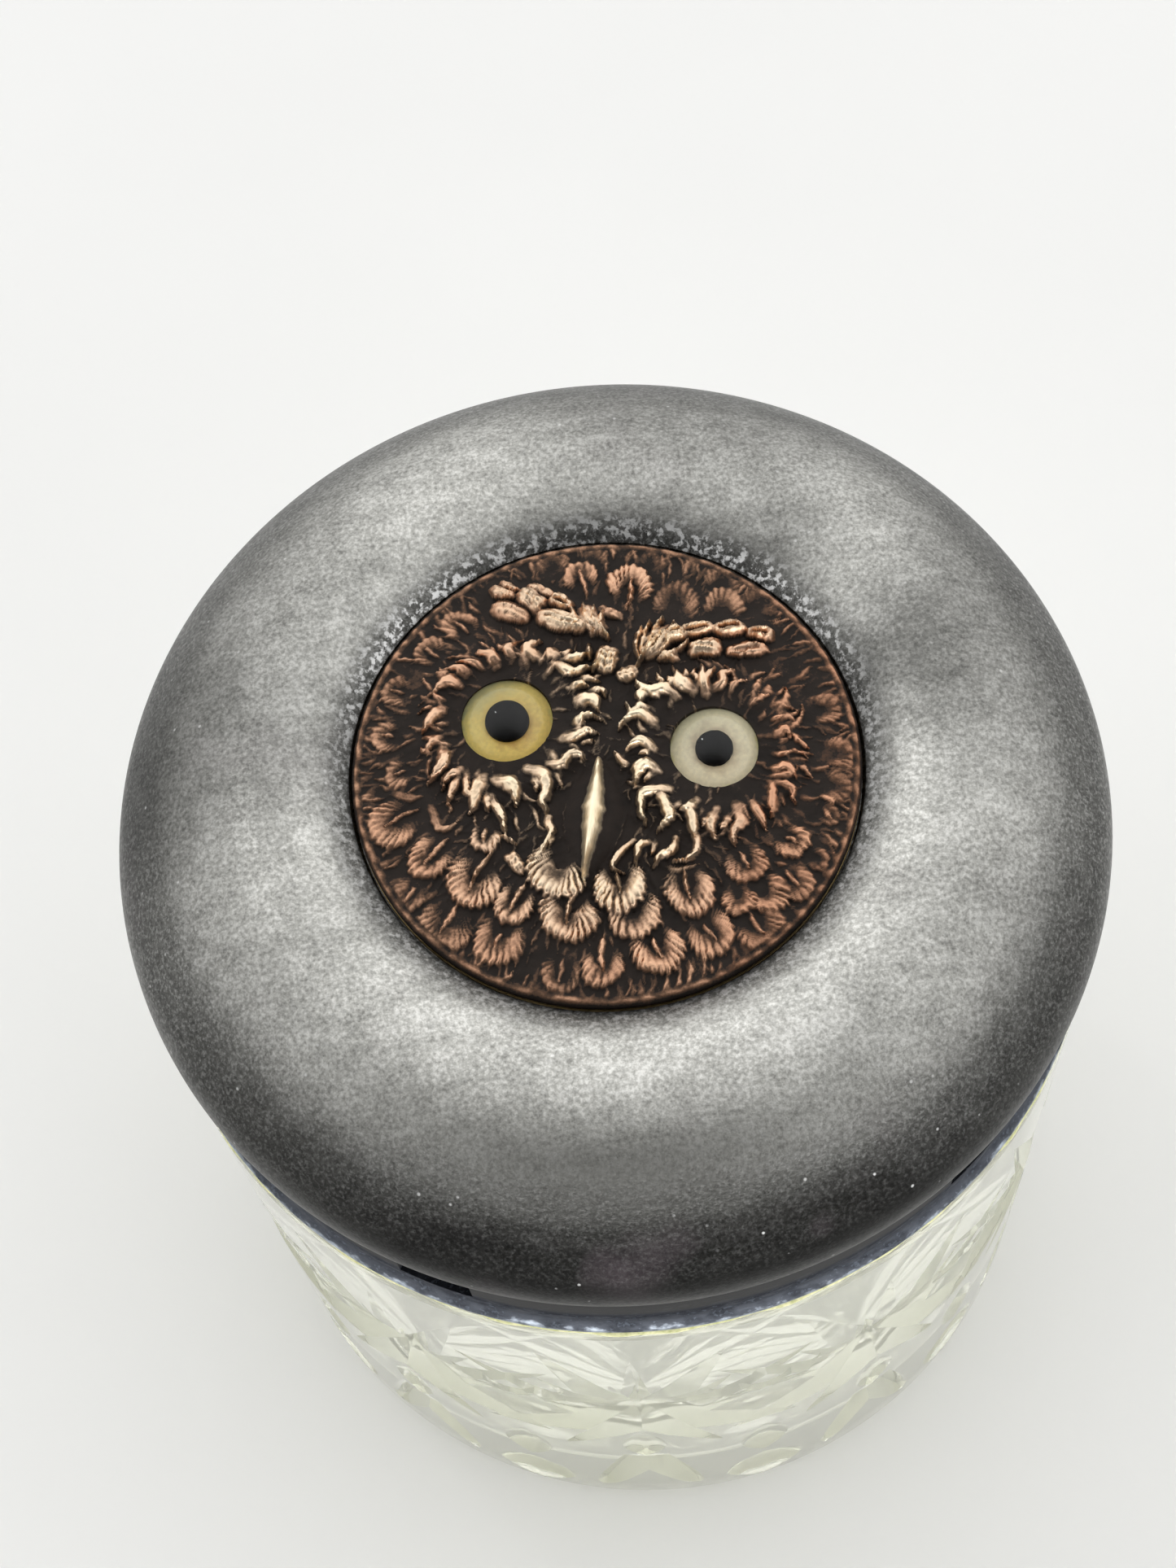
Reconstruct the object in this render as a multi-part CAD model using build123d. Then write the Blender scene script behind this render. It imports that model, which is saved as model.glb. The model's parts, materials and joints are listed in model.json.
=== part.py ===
from build123d import *
import os
from math import cos, radians, sin, sqrt, tan

# A cut-glass dressing-table jar with a spun pewter lid.  A stamped copper owl medallion
# with two glass eyes sits in the middle of the lid.  Three lugs on the lid's sleeve drop
# through notches in the jar's metal collar and turn under its flange.
# Millimetres, +Z up, origin at the centre of the base, -Y towards the owl's chin.

# ---- driving dimensions ------------------------------------------------------------------
LID_R = 35.0             # outer radius of the lid
RIM_Z = 75.5             # height of the lid's widest circle
RIM_ROUND = 5.0          # rounding of the lid's outer edge
SHEET = 1.0              # thickness of the spun lid sheet
CREST_R = 23.5           # the dome's highest circle
CREST_Z = 84.9
SEAT_R = 18.0            # recess that holds the medallion
SEAT_Z = 81.7
LIP_Z = 82.6             # top of the recess wall

JAR_FOOT_R = 36.4        # widest radius of the glass, close to the base
JAR_TOP_R = 35.0         # radius of the glass under the collar
SHOULDER_Z = 65.2        # flat shoulder of the glass
NECK_R = 30.6
NECK_TOP_Z = 72.0
BORE_R = 27.6
FLOOR_Z = 9.0            # inside floor of the jar
STARS = 11               # cut stars round the belly
STAR_Z = 36.0
STAR_TURN = -5.3         # angle of the first star from the front
CUT_DEPTH = 1.3          # depth of the cut mitres at a star's centre

COLLAR_R = 34.3          # outside of the collar wall
COLLAR_WALL = 0.7
COLLAR_LIP_R = 34.9
COLLAR_FOOT_Z = 65.9
COLLAR_TOP_Z = 72.7
FLANGE_R = 32.3          # inner radius of the collar's flange
NOTCH_FOOT_Z = 68.6
NOTCH_ANGLE = 9.0
NOTCHES = (-27.0, 40.5, 186.75)   # angles from the front, uneven so the lid fits one way round

SLEEVE_R = 31.9          # outside of the lid's sleeve
SLEEVE_WALL = 0.7
SLEEVE_FOOT_Z = 69.0
SLEEVE_TOP_Z = 76.0
LUG_R = 33.2
LUG_Z = (69.4, 71.6)
LUG_ANGLE = 5.5
LOCK_TURN = 25.0         # turn from the notch to the stop

MEDAL_R = 17.34
MEDAL_RIM_Z = 83.3
MEDAL_DOME_Z = 84.2      # centre of the domed face, without the relief
BACK_T = 0.5             # thickness of the backing plate
FILL_T = 0.5             # thickness of the pitch behind the face
OWL_TURN = -15.5         # the owl is set a little clockwise on the lid
EYE_X = 7.15             # eye centres in the owl's own frame
EYE_Y = 2.0
EYES = {"left": (-1, 3.12, 1.45), "right": (1, 2.98, 1.2)}   # side, eye radius, pupil radius
EYE_H = 2.2              # height of a cornea
IRIS_T = 0.6
PUPIL_T = 0.5
WIRE_R = 0.3
TABS = 3                 # bent tabs that hold the medallion in the lid

RIM_BOTTOM_Z = 73.6      # flat underside of the lid's edge
FACE_Z = SEAT_Z + BACK_T + FILL_T      # underside of the copper face


# ---- helpers -----------------------------------------------------------------------------
def at(r, z):
    """A point of a section, radius r and height z."""
    return (r, 0, z)


def spin(*points):
    """A solid of revolution from the corners of its section."""
    edge = Polyline(*[at(r, z) for r, z in points], close=True)
    return revolve(make_face(edge), Axis.Z)


def ring(inner, outer, low, high):
    """A plain ring with a rectangular section."""
    return spin((inner, low), (outer, low), (outer, high), (inner, high))


def disc(radius, low, high):
    """A plain disc on the axis."""
    return Pos(0, 0, (low + high) / 2) * Cylinder(radius, high - low)


def sector(inner, outer, low, high, centre, width):
    """A block of a ring: its middle stands `centre` degrees round from the front."""
    block = revolve(make_face(Polyline(at(inner, low), at(outer, low), at(outer, high),
                                       at(inner, high), close=True)), Axis.Z, width)
    return Rot(0, 0, centre - 90 - width / 2) * block


def cap(radius, low, high):
    """The section of a ball that falls from `high` on the axis to `low` at `radius`."""
    rise = high - low
    ball = (radius ** 2 + rise ** 2) / (2 * rise)
    half = radius / 2
    return ThreePointArc(at(radius, low), at(half, high - ball + sqrt(ball ** 2 - half ** 2)), at(0, high))


def owl(x, y, z=0):
    """A place given in the owl's own upright frame."""
    return Rot(0, 0, OWL_TURN) * Pos(x, y, z)


# ---- the glass jar -----------------------------------------------------------------------
def mitre(turn, height, lean, length):
    """A V-shaped cutter laid on the glass at one star, leaning `lean` degrees."""
    reach = CUT_DEPTH + 2.0
    half = reach * tan(radians(52))
    wedge = Plane.XZ * Polyline((0, 0), (half, reach), (-half, reach), close=True)
    bar = extrude(make_face(wedge), length / 2, both=True)
    radius = JAR_TOP_R + (JAR_FOOT_R - JAR_TOP_R) * (1 - height / SHOULDER_Z) - CUT_DEPTH
    bar = Rot(0, 0, lean) * bar
    bar = Rot(90, 0, 0) * bar
    return Rot(0, 0, turn) * Pos(0, -radius, height) * bar


def glass_jar():
    outline = [Line(at(0, 0), at(33.2, 0)),
               ThreePointArc(at(33.2, 0), at(35.6, 1.1), at(JAR_FOOT_R, 3.8)),
               Line(at(JAR_FOOT_R, 3.8), at(JAR_TOP_R, SHOULDER_Z - 1.0)),
               ThreePointArc(at(JAR_TOP_R, SHOULDER_Z - 1.0),
                             at(JAR_TOP_R - 0.3, SHOULDER_Z - 0.3),
                             at(JAR_TOP_R - 1.0, SHOULDER_Z)),
               Line(at(JAR_TOP_R - 1.0, SHOULDER_Z), at(NECK_R, SHOULDER_Z)),
               Line(at(NECK_R, SHOULDER_Z), at(NECK_R, NECK_TOP_Z)),
               Line(at(NECK_R, NECK_TOP_Z), at(BORE_R, NECK_TOP_Z)),
               Line(at(BORE_R, NECK_TOP_Z), at(BORE_R, FLOOR_Z + 4)),
               ThreePointArc(at(BORE_R, FLOOR_Z + 4),
                             at(BORE_R - 4 + 4 * cos(radians(45)), FLOOR_Z + 4 - 4 * sin(radians(45))),
                             at(BORE_R - 4, FLOOR_Z)),
               Line(at(BORE_R - 4, FLOOR_Z), at(0, FLOOR_Z)),
               Line(at(0, FLOOR_Z), at(0, 0))]
    body = revolve(make_face(outline), Axis.Z)
    cutters = []
    for k in range(STARS):
        turn = STAR_TURN + k * 360 / STARS
        cutters.append(mitre(turn, STAR_Z, 0, 34))
        for lean in (60, -60):
            cutters.append(mitre(turn, STAR_Z, lean, 24))
    return body - cutters


# ---- the collar --------------------------------------------------------------------------
def collar_ring():
    inner = COLLAR_R - COLLAR_WALL
    body = spin((inner, COLLAR_FOOT_Z), (COLLAR_LIP_R, COLLAR_FOOT_Z),
                (COLLAR_LIP_R, COLLAR_FOOT_Z + 0.9), (COLLAR_R, COLLAR_FOOT_Z + 1.4),
                (COLLAR_R, COLLAR_TOP_Z), (FLANGE_R, COLLAR_TOP_Z),
                (FLANGE_R, COLLAR_TOP_Z - COLLAR_WALL), (inner, COLLAR_TOP_Z - COLLAR_WALL))
    stop = LOCK_TURN + LUG_ANGLE / 2 + 2.0
    for angle in NOTCHES:
        body -= sector(FLANGE_R - 1, COLLAR_LIP_R + 1, NOTCH_FOOT_Z, COLLAR_TOP_Z + 1,
                       angle, NOTCH_ANGLE)
        body += sector(LUG_R - 0.6, inner + 0.2, LUG_Z[0], COLLAR_TOP_Z - COLLAR_WALL,
                       angle - stop, 3.0)
    return body


def collar_cement():
    inner = COLLAR_R - COLLAR_WALL
    return spin((NECK_R, SHOULDER_Z), (JAR_TOP_R - 1.0, SHOULDER_Z),
                (JAR_TOP_R - 1.0, COLLAR_FOOT_Z), (inner, COLLAR_FOOT_Z),
                (inner, COLLAR_FOOT_Z + 2.2), (NECK_R, COLLAR_FOOT_Z + 2.2))


# ---- the lid -----------------------------------------------------------------------------
def lid_skin(inset):
    """The spun skin from the lid's edge over the dome to the recess, `inset` inside it."""
    radius = RIM_ROUND - inset
    centre_r = LID_R - RIM_ROUND
    foot_z = RIM_BOTTOM_Z + inset
    foot_r = centre_r + sqrt(radius ** 2 - (RIM_Z - foot_z) ** 2)
    top = radians(35)
    shoulder = at(centre_r + radius * cos(top), RIM_Z + radius * sin(top))
    crest = at(CREST_R, CREST_Z - inset)
    lip = at(SEAT_R + inset, LIP_Z - inset)
    fall = radians(36)
    return [ThreePointArc(at(foot_r, foot_z), at(centre_r + radius, RIM_Z), shoulder),
            Spline(shoulder, crest, tangents=[(-sin(top), 0, cos(top)), (-1, 0, 0)]),
            Spline(crest, lip, tangents=[(-1, 0, 0), (-cos(fall), 0, -sin(fall))])]


def wire_hole(side):
    """A hole for one eye's wire, right through the pieces behind the eye."""
    return owl(side * EYE_X, EYE_Y, FACE_Z - 2.0) * Cylinder(WIRE_R + 0.15, 8.0)


def tab_place(k):
    return Rot(0, 0, OWL_TURN + 90 + k * 360 / TABS)


def lid_shell():
    outer = lid_skin(0)
    inner = lid_skin(SHEET)
    edge_out = outer[0] @ 0
    edge_in = inner[0] @ 0
    floor_z = SEAT_Z - SHEET
    section = outer + [
        Line(outer[2] @ 1, at(SEAT_R, SEAT_Z)),
        Line(at(SEAT_R, SEAT_Z), at(0, SEAT_Z)),
        Line(at(0, SEAT_Z), at(0, floor_z)),
        Line(at(0, floor_z), at(SEAT_R + SHEET, floor_z)),
        Line(at(SEAT_R + SHEET, floor_z), inner[2] @ 1)] + inner + [
        Line(edge_in, at(SLEEVE_R, RIM_BOTTOM_Z + SHEET)),
        Line(at(SLEEVE_R, RIM_BOTTOM_Z + SHEET), at(SLEEVE_R, RIM_BOTTOM_Z)),
        Line(at(SLEEVE_R, RIM_BOTTOM_Z), edge_out)]
    body = revolve(make_face(section), Axis.Z)
    for side, _, _ in EYES.values():
        body -= wire_hole(side)
    for k in range(TABS):
        body -= tab_place(k) * Pos(12, 0, SEAT_Z - SHEET / 2) * Box(0.9, 2.6, SHEET * 3)
    return body


def lid_sleeve():
    body = ring(SLEEVE_R - SLEEVE_WALL, SLEEVE_R, SLEEVE_FOOT_Z, SLEEVE_TOP_Z)
    for angle in NOTCHES:
        body += sector(SLEEVE_R - 0.2, LUG_R, LUG_Z[0], LUG_Z[1], angle, LUG_ANGLE)
    return body


def sleeve_solder():
    foot = RIM_BOTTOM_Z + SHEET
    return spin((SLEEVE_R, foot), (SLEEVE_R + 1.2, foot), (SLEEVE_R, foot + 1.2))


def lid_liner():
    edge = SLEEVE_R - SLEEVE_WALL
    low = NECK_TOP_Z + 1.5
    return spin((0, low), (edge, low), (edge, low + 2.0), (edge - 0.5, low + 2.0),
                (edge - 0.5, low + 0.5), (0, low + 0.5))


def seal_washer():
    return ring(BORE_R, SLEEVE_R - SLEEVE_WALL - 0.3, NECK_TOP_Z, NECK_TOP_Z + 1.5)


# ---- the owl medallion -------------------------------------------------------------------
def beak():
    """A pointed ridge between the eyes."""
    outline = [ThreePointArc((0, 0.7), (-1.1, -4.0), (0, -8.8)),
               ThreePointArc((0, -8.8), (1.1, -4.0), (0, 0.7))]
    ridge = extrude(make_face(outline), 2.1, taper=22)
    return owl(0, 0, FACE_Z + 0.5) * ridge


def brow(side):
    """A thick eyebrow of feathers that rises outwards."""
    ridge = extrude(SlotCenterToCenter(8.0, 2.6), 1.7, taper=20)
    return owl(side * 6.6, 9.2, FACE_Z + 0.5) * Rot(0, 0, side * 12) * ridge


def medallion_face():
    rim = 0.75
    dome = [Line(at(0, FACE_Z), at(MEDAL_R, FACE_Z)),
            Line(at(MEDAL_R, FACE_Z), at(MEDAL_R, MEDAL_RIM_Z)),
            Line(at(MEDAL_R, MEDAL_RIM_Z), at(MEDAL_R - rim, MEDAL_RIM_Z)),
            cap(MEDAL_R - rim, MEDAL_RIM_Z, MEDAL_DOME_Z),
            Line(at(0, MEDAL_DOME_Z), at(0, FACE_Z))]
    body = revolve(make_face(dome), Axis.Z)
    body += beak()
    for side, radius, _ in EYES.values():
        body += brow(side)
        body += owl(side * EYE_X, EYE_Y, FACE_Z + 0.9) * Cylinder(radius + 1.9, 1.8)
        body -= owl(side * EYE_X, EYE_Y, FACE_Z + 2.0) * Cylinder(radius + 0.05, 4.2)
    return body


def medallion_filler():
    body = disc(MEDAL_R - 0.3, SEAT_Z + BACK_T, FACE_Z)
    for side, _, _ in EYES.values():
        body -= wire_hole(side)
    return body


def medallion_back():
    body = disc(MEDAL_R, SEAT_Z, SEAT_Z + BACK_T)
    for side, _, _ in EYES.values():
        body -= wire_hole(side)
    return body


def medallion_tabs():
    """Strips soldered under the backing plate and bent over inside the lid."""
    floor_z = SEAT_Z - SHEET
    post = Box(0.5, 2.0, SHEET + 0.5, align=(Align.CENTER, Align.CENTER, Align.MAX))
    foot = Box(3.0, 2.0, 0.5, align=(Align.MIN, Align.CENTER, Align.MAX))
    tab = Pos(12, 0, SEAT_Z) * post + Pos(11.75, 0, floor_z) * foot
    return Compound(children=[tab_place(k) * tab for k in range(TABS)])


# ---- the eyes ----------------------------------------------------------------------------
def eye_iris(side, radius):
    return owl(side * EYE_X, EYE_Y, FACE_Z + IRIS_T / 2) * Cylinder(radius, IRIS_T)


def pupil_shape(side, pupil):
    """A low black button with a rounded top."""
    base = FACE_Z + IRIS_T
    button = Pos(0, 0, base + PUPIL_T / 2) * Cylinder(pupil, PUPIL_T)
    return owl(side * EYE_X, EYE_Y) * fillet(button.edges().sort_by(Axis.Z)[-1], 0.3)


def eye_cornea(side, radius, pupil):
    base = FACE_Z + IRIS_T
    girdle = 0.5
    section = [Line(at(0, 0), at(radius, 0)), Line(at(radius, 0), at(radius, girdle)),
               cap(radius, girdle, EYE_H), Line(at(0, EYE_H), at(0, 0))]
    glass = owl(side * EYE_X, EYE_Y, base) * revolve(make_face(section), Axis.Z)
    return glass - pupil_shape(side, pupil)


def eye_wire(side):
    """An iron wire fused to the back of the eye and bent over inside the lid."""
    drop = FACE_Z - (SEAT_Z - SHEET) + 2.2
    path = [Line((0, 0, 0), (0, 0, -drop)),
            ThreePointArc((0, 0, -drop), (-0.3 * side, 0, -drop - 0.7), (-side, 0, -drop - 1.0)),
            Line((-side, 0, -drop - 1.0), (-4 * side, 0, -drop - 1.0))]
    wire = sweep(Circle(WIRE_R), path=Wire([e.edge() for e in path]))
    return owl(side * EYE_X, EYE_Y, FACE_Z) * wire


# ---- export ------------------------------------------------------------------------------
NODES = {
    "glass_jar": glass_jar(),
    "collar_ring": collar_ring(),
    "collar_cement": collar_cement(),
    "lid_shell": lid_shell(),
    "lid_sleeve": lid_sleeve(),
    "sleeve_solder": sleeve_solder(),
    "lid_liner": lid_liner(),
    "seal_washer": seal_washer(),
    "medallion_face": medallion_face(),
    "medallion_filler": medallion_filler(),
    "medallion_back": medallion_back(),
    "medallion_tabs": medallion_tabs(),
}
for name, (side, radius, pupil) in EYES.items():
    NODES[name + "_eye_cornea"] = eye_cornea(side, radius, pupil)
    NODES[name + "_eye_iris"] = eye_iris(side, radius)
    NODES[name + "_eye_pupil"] = pupil_shape(side, pupil)
    NODES[name + "_eye_wire"] = eye_wire(side)

os.makedirs("parts", exist_ok=True)
for node, shape in NODES.items():
    export_step(shape, f"parts/{node}.step")
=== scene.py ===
"""The looks of a cut-glass vanity jar with a spun pewter lid and a stamped copper owl medallion.

Blender works in metres. Sections and places below are in millimetres, like the CAD model, and
are scaled as each mesh is made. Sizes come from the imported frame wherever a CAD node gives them.
"""

import json
from math import atan2, cos, degrees, pi, radians, sin, sqrt, tan

import bmesh
import bpy
import numpy as np
from mathutils import Matrix, Vector

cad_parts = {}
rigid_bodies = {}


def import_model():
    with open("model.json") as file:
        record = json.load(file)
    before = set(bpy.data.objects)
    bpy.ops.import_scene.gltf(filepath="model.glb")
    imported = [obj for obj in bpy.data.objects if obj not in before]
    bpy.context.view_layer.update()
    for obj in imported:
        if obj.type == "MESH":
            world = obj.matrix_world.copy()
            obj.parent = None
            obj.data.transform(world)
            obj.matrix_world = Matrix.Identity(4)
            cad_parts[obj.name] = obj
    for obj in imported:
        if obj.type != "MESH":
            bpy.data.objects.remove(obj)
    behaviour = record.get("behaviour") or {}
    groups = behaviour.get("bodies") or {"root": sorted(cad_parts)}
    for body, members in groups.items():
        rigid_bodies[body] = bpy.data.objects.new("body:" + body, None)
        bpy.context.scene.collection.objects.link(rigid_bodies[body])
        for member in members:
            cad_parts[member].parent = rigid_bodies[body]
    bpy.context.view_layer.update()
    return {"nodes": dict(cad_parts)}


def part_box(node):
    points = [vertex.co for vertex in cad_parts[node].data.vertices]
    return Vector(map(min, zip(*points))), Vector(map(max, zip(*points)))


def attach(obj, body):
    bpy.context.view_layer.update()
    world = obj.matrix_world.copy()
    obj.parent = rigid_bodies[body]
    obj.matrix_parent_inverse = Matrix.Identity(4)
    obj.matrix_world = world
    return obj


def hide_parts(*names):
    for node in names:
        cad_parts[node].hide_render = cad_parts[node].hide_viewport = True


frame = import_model()
MM = 0.001


def span(node):
    """The lowest and highest corner of a CAD node, in millimetres."""
    low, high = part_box(node)
    return np.array(low) / MM, np.array(high) / MM


# ---- sizes taken from the frame ----------------------------------------------------------
JAR_HIGH = span("glass_jar")[1]
CEMENT_LOW, CEMENT_HIGH = span("collar_cement")
COLLAR_LOW, COLLAR_HIGH = span("collar_ring")
LID_LOW, LID_HIGH = span("lid_shell")
SOLDER_HIGH = span("sleeve_solder")[1]
FACE_LOW, FACE_HIGH = span("medallion_face")
LID_R = LID_HIGH[0]
SEAT_Z = span("medallion_back")[0][2]   # the medallion sits on this floor
FACE_R = FACE_HIGH[0]
FACE_Z = FACE_LOW[2]                    # underside of the stamped face
EYE_NAMES = ("left", "right")


def eye_sizes(name):
    """Centre, radius and heights of one eye."""
    low, high = span(name + "_eye_cornea")
    pupil_low, pupil_high = span(name + "_eye_pupil")
    iris_low, iris_high = span(name + "_eye_iris")
    return {"centre": (low + high)[:2] / 2, "radius": (high - low)[0] / 2,
            "pupil": (pupil_high - pupil_low)[0] / 2, "pupil_top": pupil_high[2],
            "iris": (iris_low[2], iris_high[2]), "top": high[2]}


EYES = {name: eye_sizes(name) for name in EYE_NAMES}
ACROSS = EYES["right"]["centre"] - EYES["left"]["centre"]
OWL_TURN = atan2(ACROSS[1], ACROSS[0])   # the owl is set a little clockwise on the lid
EYE_X = np.linalg.norm(ACROSS) / 2
EYE_Y = EYES["left"]["centre"][1] * cos(OWL_TURN) - EYES["left"]["centre"][0] * sin(OWL_TURN)


# ---- mesh helpers ------------------------------------------------------------------------
def make_mesh(name, points, faces):
    """A mesh from points in millimetres, with its normals facing outwards."""
    mesh = bpy.data.meshes.new(name)
    mesh.from_pydata((np.asarray(points) * MM).tolist(), [], faces)
    work = bmesh.new()
    work.from_mesh(mesh)
    bmesh.ops.remove_doubles(work, verts=work.verts, dist=1e-7)
    bmesh.ops.recalc_face_normals(work, faces=work.faces)
    work.to_mesh(mesh)
    work.free()
    return mesh


def make_object(name, mesh, collection=None):
    piece = bpy.data.objects.new(name, mesh)
    (collection or bpy.context.scene.collection).objects.link(piece)
    return piece


def smooth(mesh, angle):
    """Smooth shading, with the edges sharper than `angle` degrees kept crisp."""
    mesh.shade_smooth()
    mesh.set_sharp_from_angle(angle=radians(angle))


def dress(piece, body, shader, replaced, angle=30):
    """Shade a piece, hang it on its body and hide the CAD node that it stands for."""
    smooth(piece.data, angle)
    piece.data.materials.clear()
    piece.data.materials.append(shader)
    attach(piece, body)
    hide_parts(replaced)
    return piece


def lathe(section, steps, closed=True, bend=None):
    """Points and faces of a turned solid. `bend` may move the grid of points before it is joined."""
    section = np.asarray(section, float)
    turn = np.linspace(0, 2 * pi, steps, endpoint=False)[:, None]
    radius = np.broadcast_to(section[:, 0], (steps, len(section)))
    height = np.broadcast_to(section[:, 1], (steps, len(section)))
    if bend:
        radius, height = bend(turn, radius, height)
    grid = np.stack([radius * np.cos(turn), radius * np.sin(turn), height + 0 * turn], axis=2)
    count = len(section)
    spans = count if closed else count - 1
    faces = []
    for i in range(steps):
        here, there = i * count, (i + 1) % steps * count
        for j in range(spans):
            k = (j + 1) % count
            faces.append((here + j, there + j, there + k, here + k))
    return grid.reshape(-1, 3), faces


def arc(centre_r, centre_z, radius, start, stop, count):
    """Points of an arc in a section, from `start` to `stop` degrees."""
    turn = np.radians(np.linspace(start, stop, count))
    return [(centre_r + radius * cos(a), centre_z + radius * sin(a)) for a in turn]


def flow(start, leave, stop, arrive, count):
    """Points of a smooth curve that leaves `start` and reaches `stop` in the given directions."""
    start, stop = np.array(start), np.array(stop)
    reach = np.linalg.norm(stop - start)
    t = np.linspace(0, 1, count)[:, None]
    leave, arrive = np.array(leave) * reach, np.array(arrive) * reach
    points = ((2 * t ** 3 - 3 * t ** 2 + 1) * start + (t ** 3 - 2 * t ** 2 + t) * leave
              + (3 * t ** 2 - 2 * t ** 3) * stop + (t ** 3 - t ** 2) * arrive)
    return [tuple(p) for p in points]


def waver(turn, waves, seed):
    """A smooth uneven value from -1 to 1 round a circle."""
    random = np.random.default_rng(seed)
    total = 0 * turn
    for wave in waves:
        total = total + np.sin(wave * turn + random.uniform(0, 2 * pi)) * random.uniform(0.6, 1)
    return total / len(waves)


def subtract(piece, cutters):
    """Cut closed solids out of a piece and forget them."""
    group = bpy.data.collections.new("cutters")
    for mesh in cutters:
        make_object("cutter", mesh, group)
    cut = piece.modifiers.new("cut", "BOOLEAN")
    cut.operation = "DIFFERENCE"
    cut.solver = "MANIFOLD"
    cut.operand_type = "COLLECTION"
    cut.collection = group
    graph = bpy.context.evaluated_depsgraph_get()
    result = bpy.data.meshes.new_from_object(piece.evaluated_get(graph))
    piece.modifiers.clear()
    piece.data = result
    for solid in list(group.objects):
        bpy.data.objects.remove(solid)
    bpy.data.collections.remove(group)


def skin(rings, name="solid"):
    """A closed solid through rings of points, with flat ends."""
    count = len(rings[0])
    faces = []
    for i in range(len(rings) - 1):
        for j in range(count):
            k = (j + 1) % count
            faces.append((i * count + j, (i + 1) * count + j, (i + 1) * count + k, i * count + k))
    last = (len(rings) - 1) * count
    faces.append(tuple(range(count)))
    faces.append(tuple(range(last + count - 1, last - 1, -1)))
    return make_mesh(name, np.concatenate(rings), faces)


def block(inner, outer, low, high, start, stop, steps=8):
    """A block of a ring between two angles, in degrees from the front."""
    rings = []
    for a in np.radians(np.linspace(start, stop, steps)):
        away = np.array([sin(a), -cos(a), 0])
        up = np.array([0, 0, 1])
        rings.append(np.array([away * inner + up * low, away * outer + up * low,
                               away * outer + up * high, away * inner + up * high]))
    return skin(rings)


# ---- shader helpers ----------------------------------------------------------------------
def fill_ramp(band, stops):
    """Give a colour ramp its stops of (position, colour or grey)."""
    while len(band.elements) < len(stops):
        band.elements.new(0.5)
    for element, (position, colour) in zip(band.elements, stops):
        element.position = position
        shade = (colour,) * 3 if np.isscalar(colour) else colour
        element.color = (*shade, 1)


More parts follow.
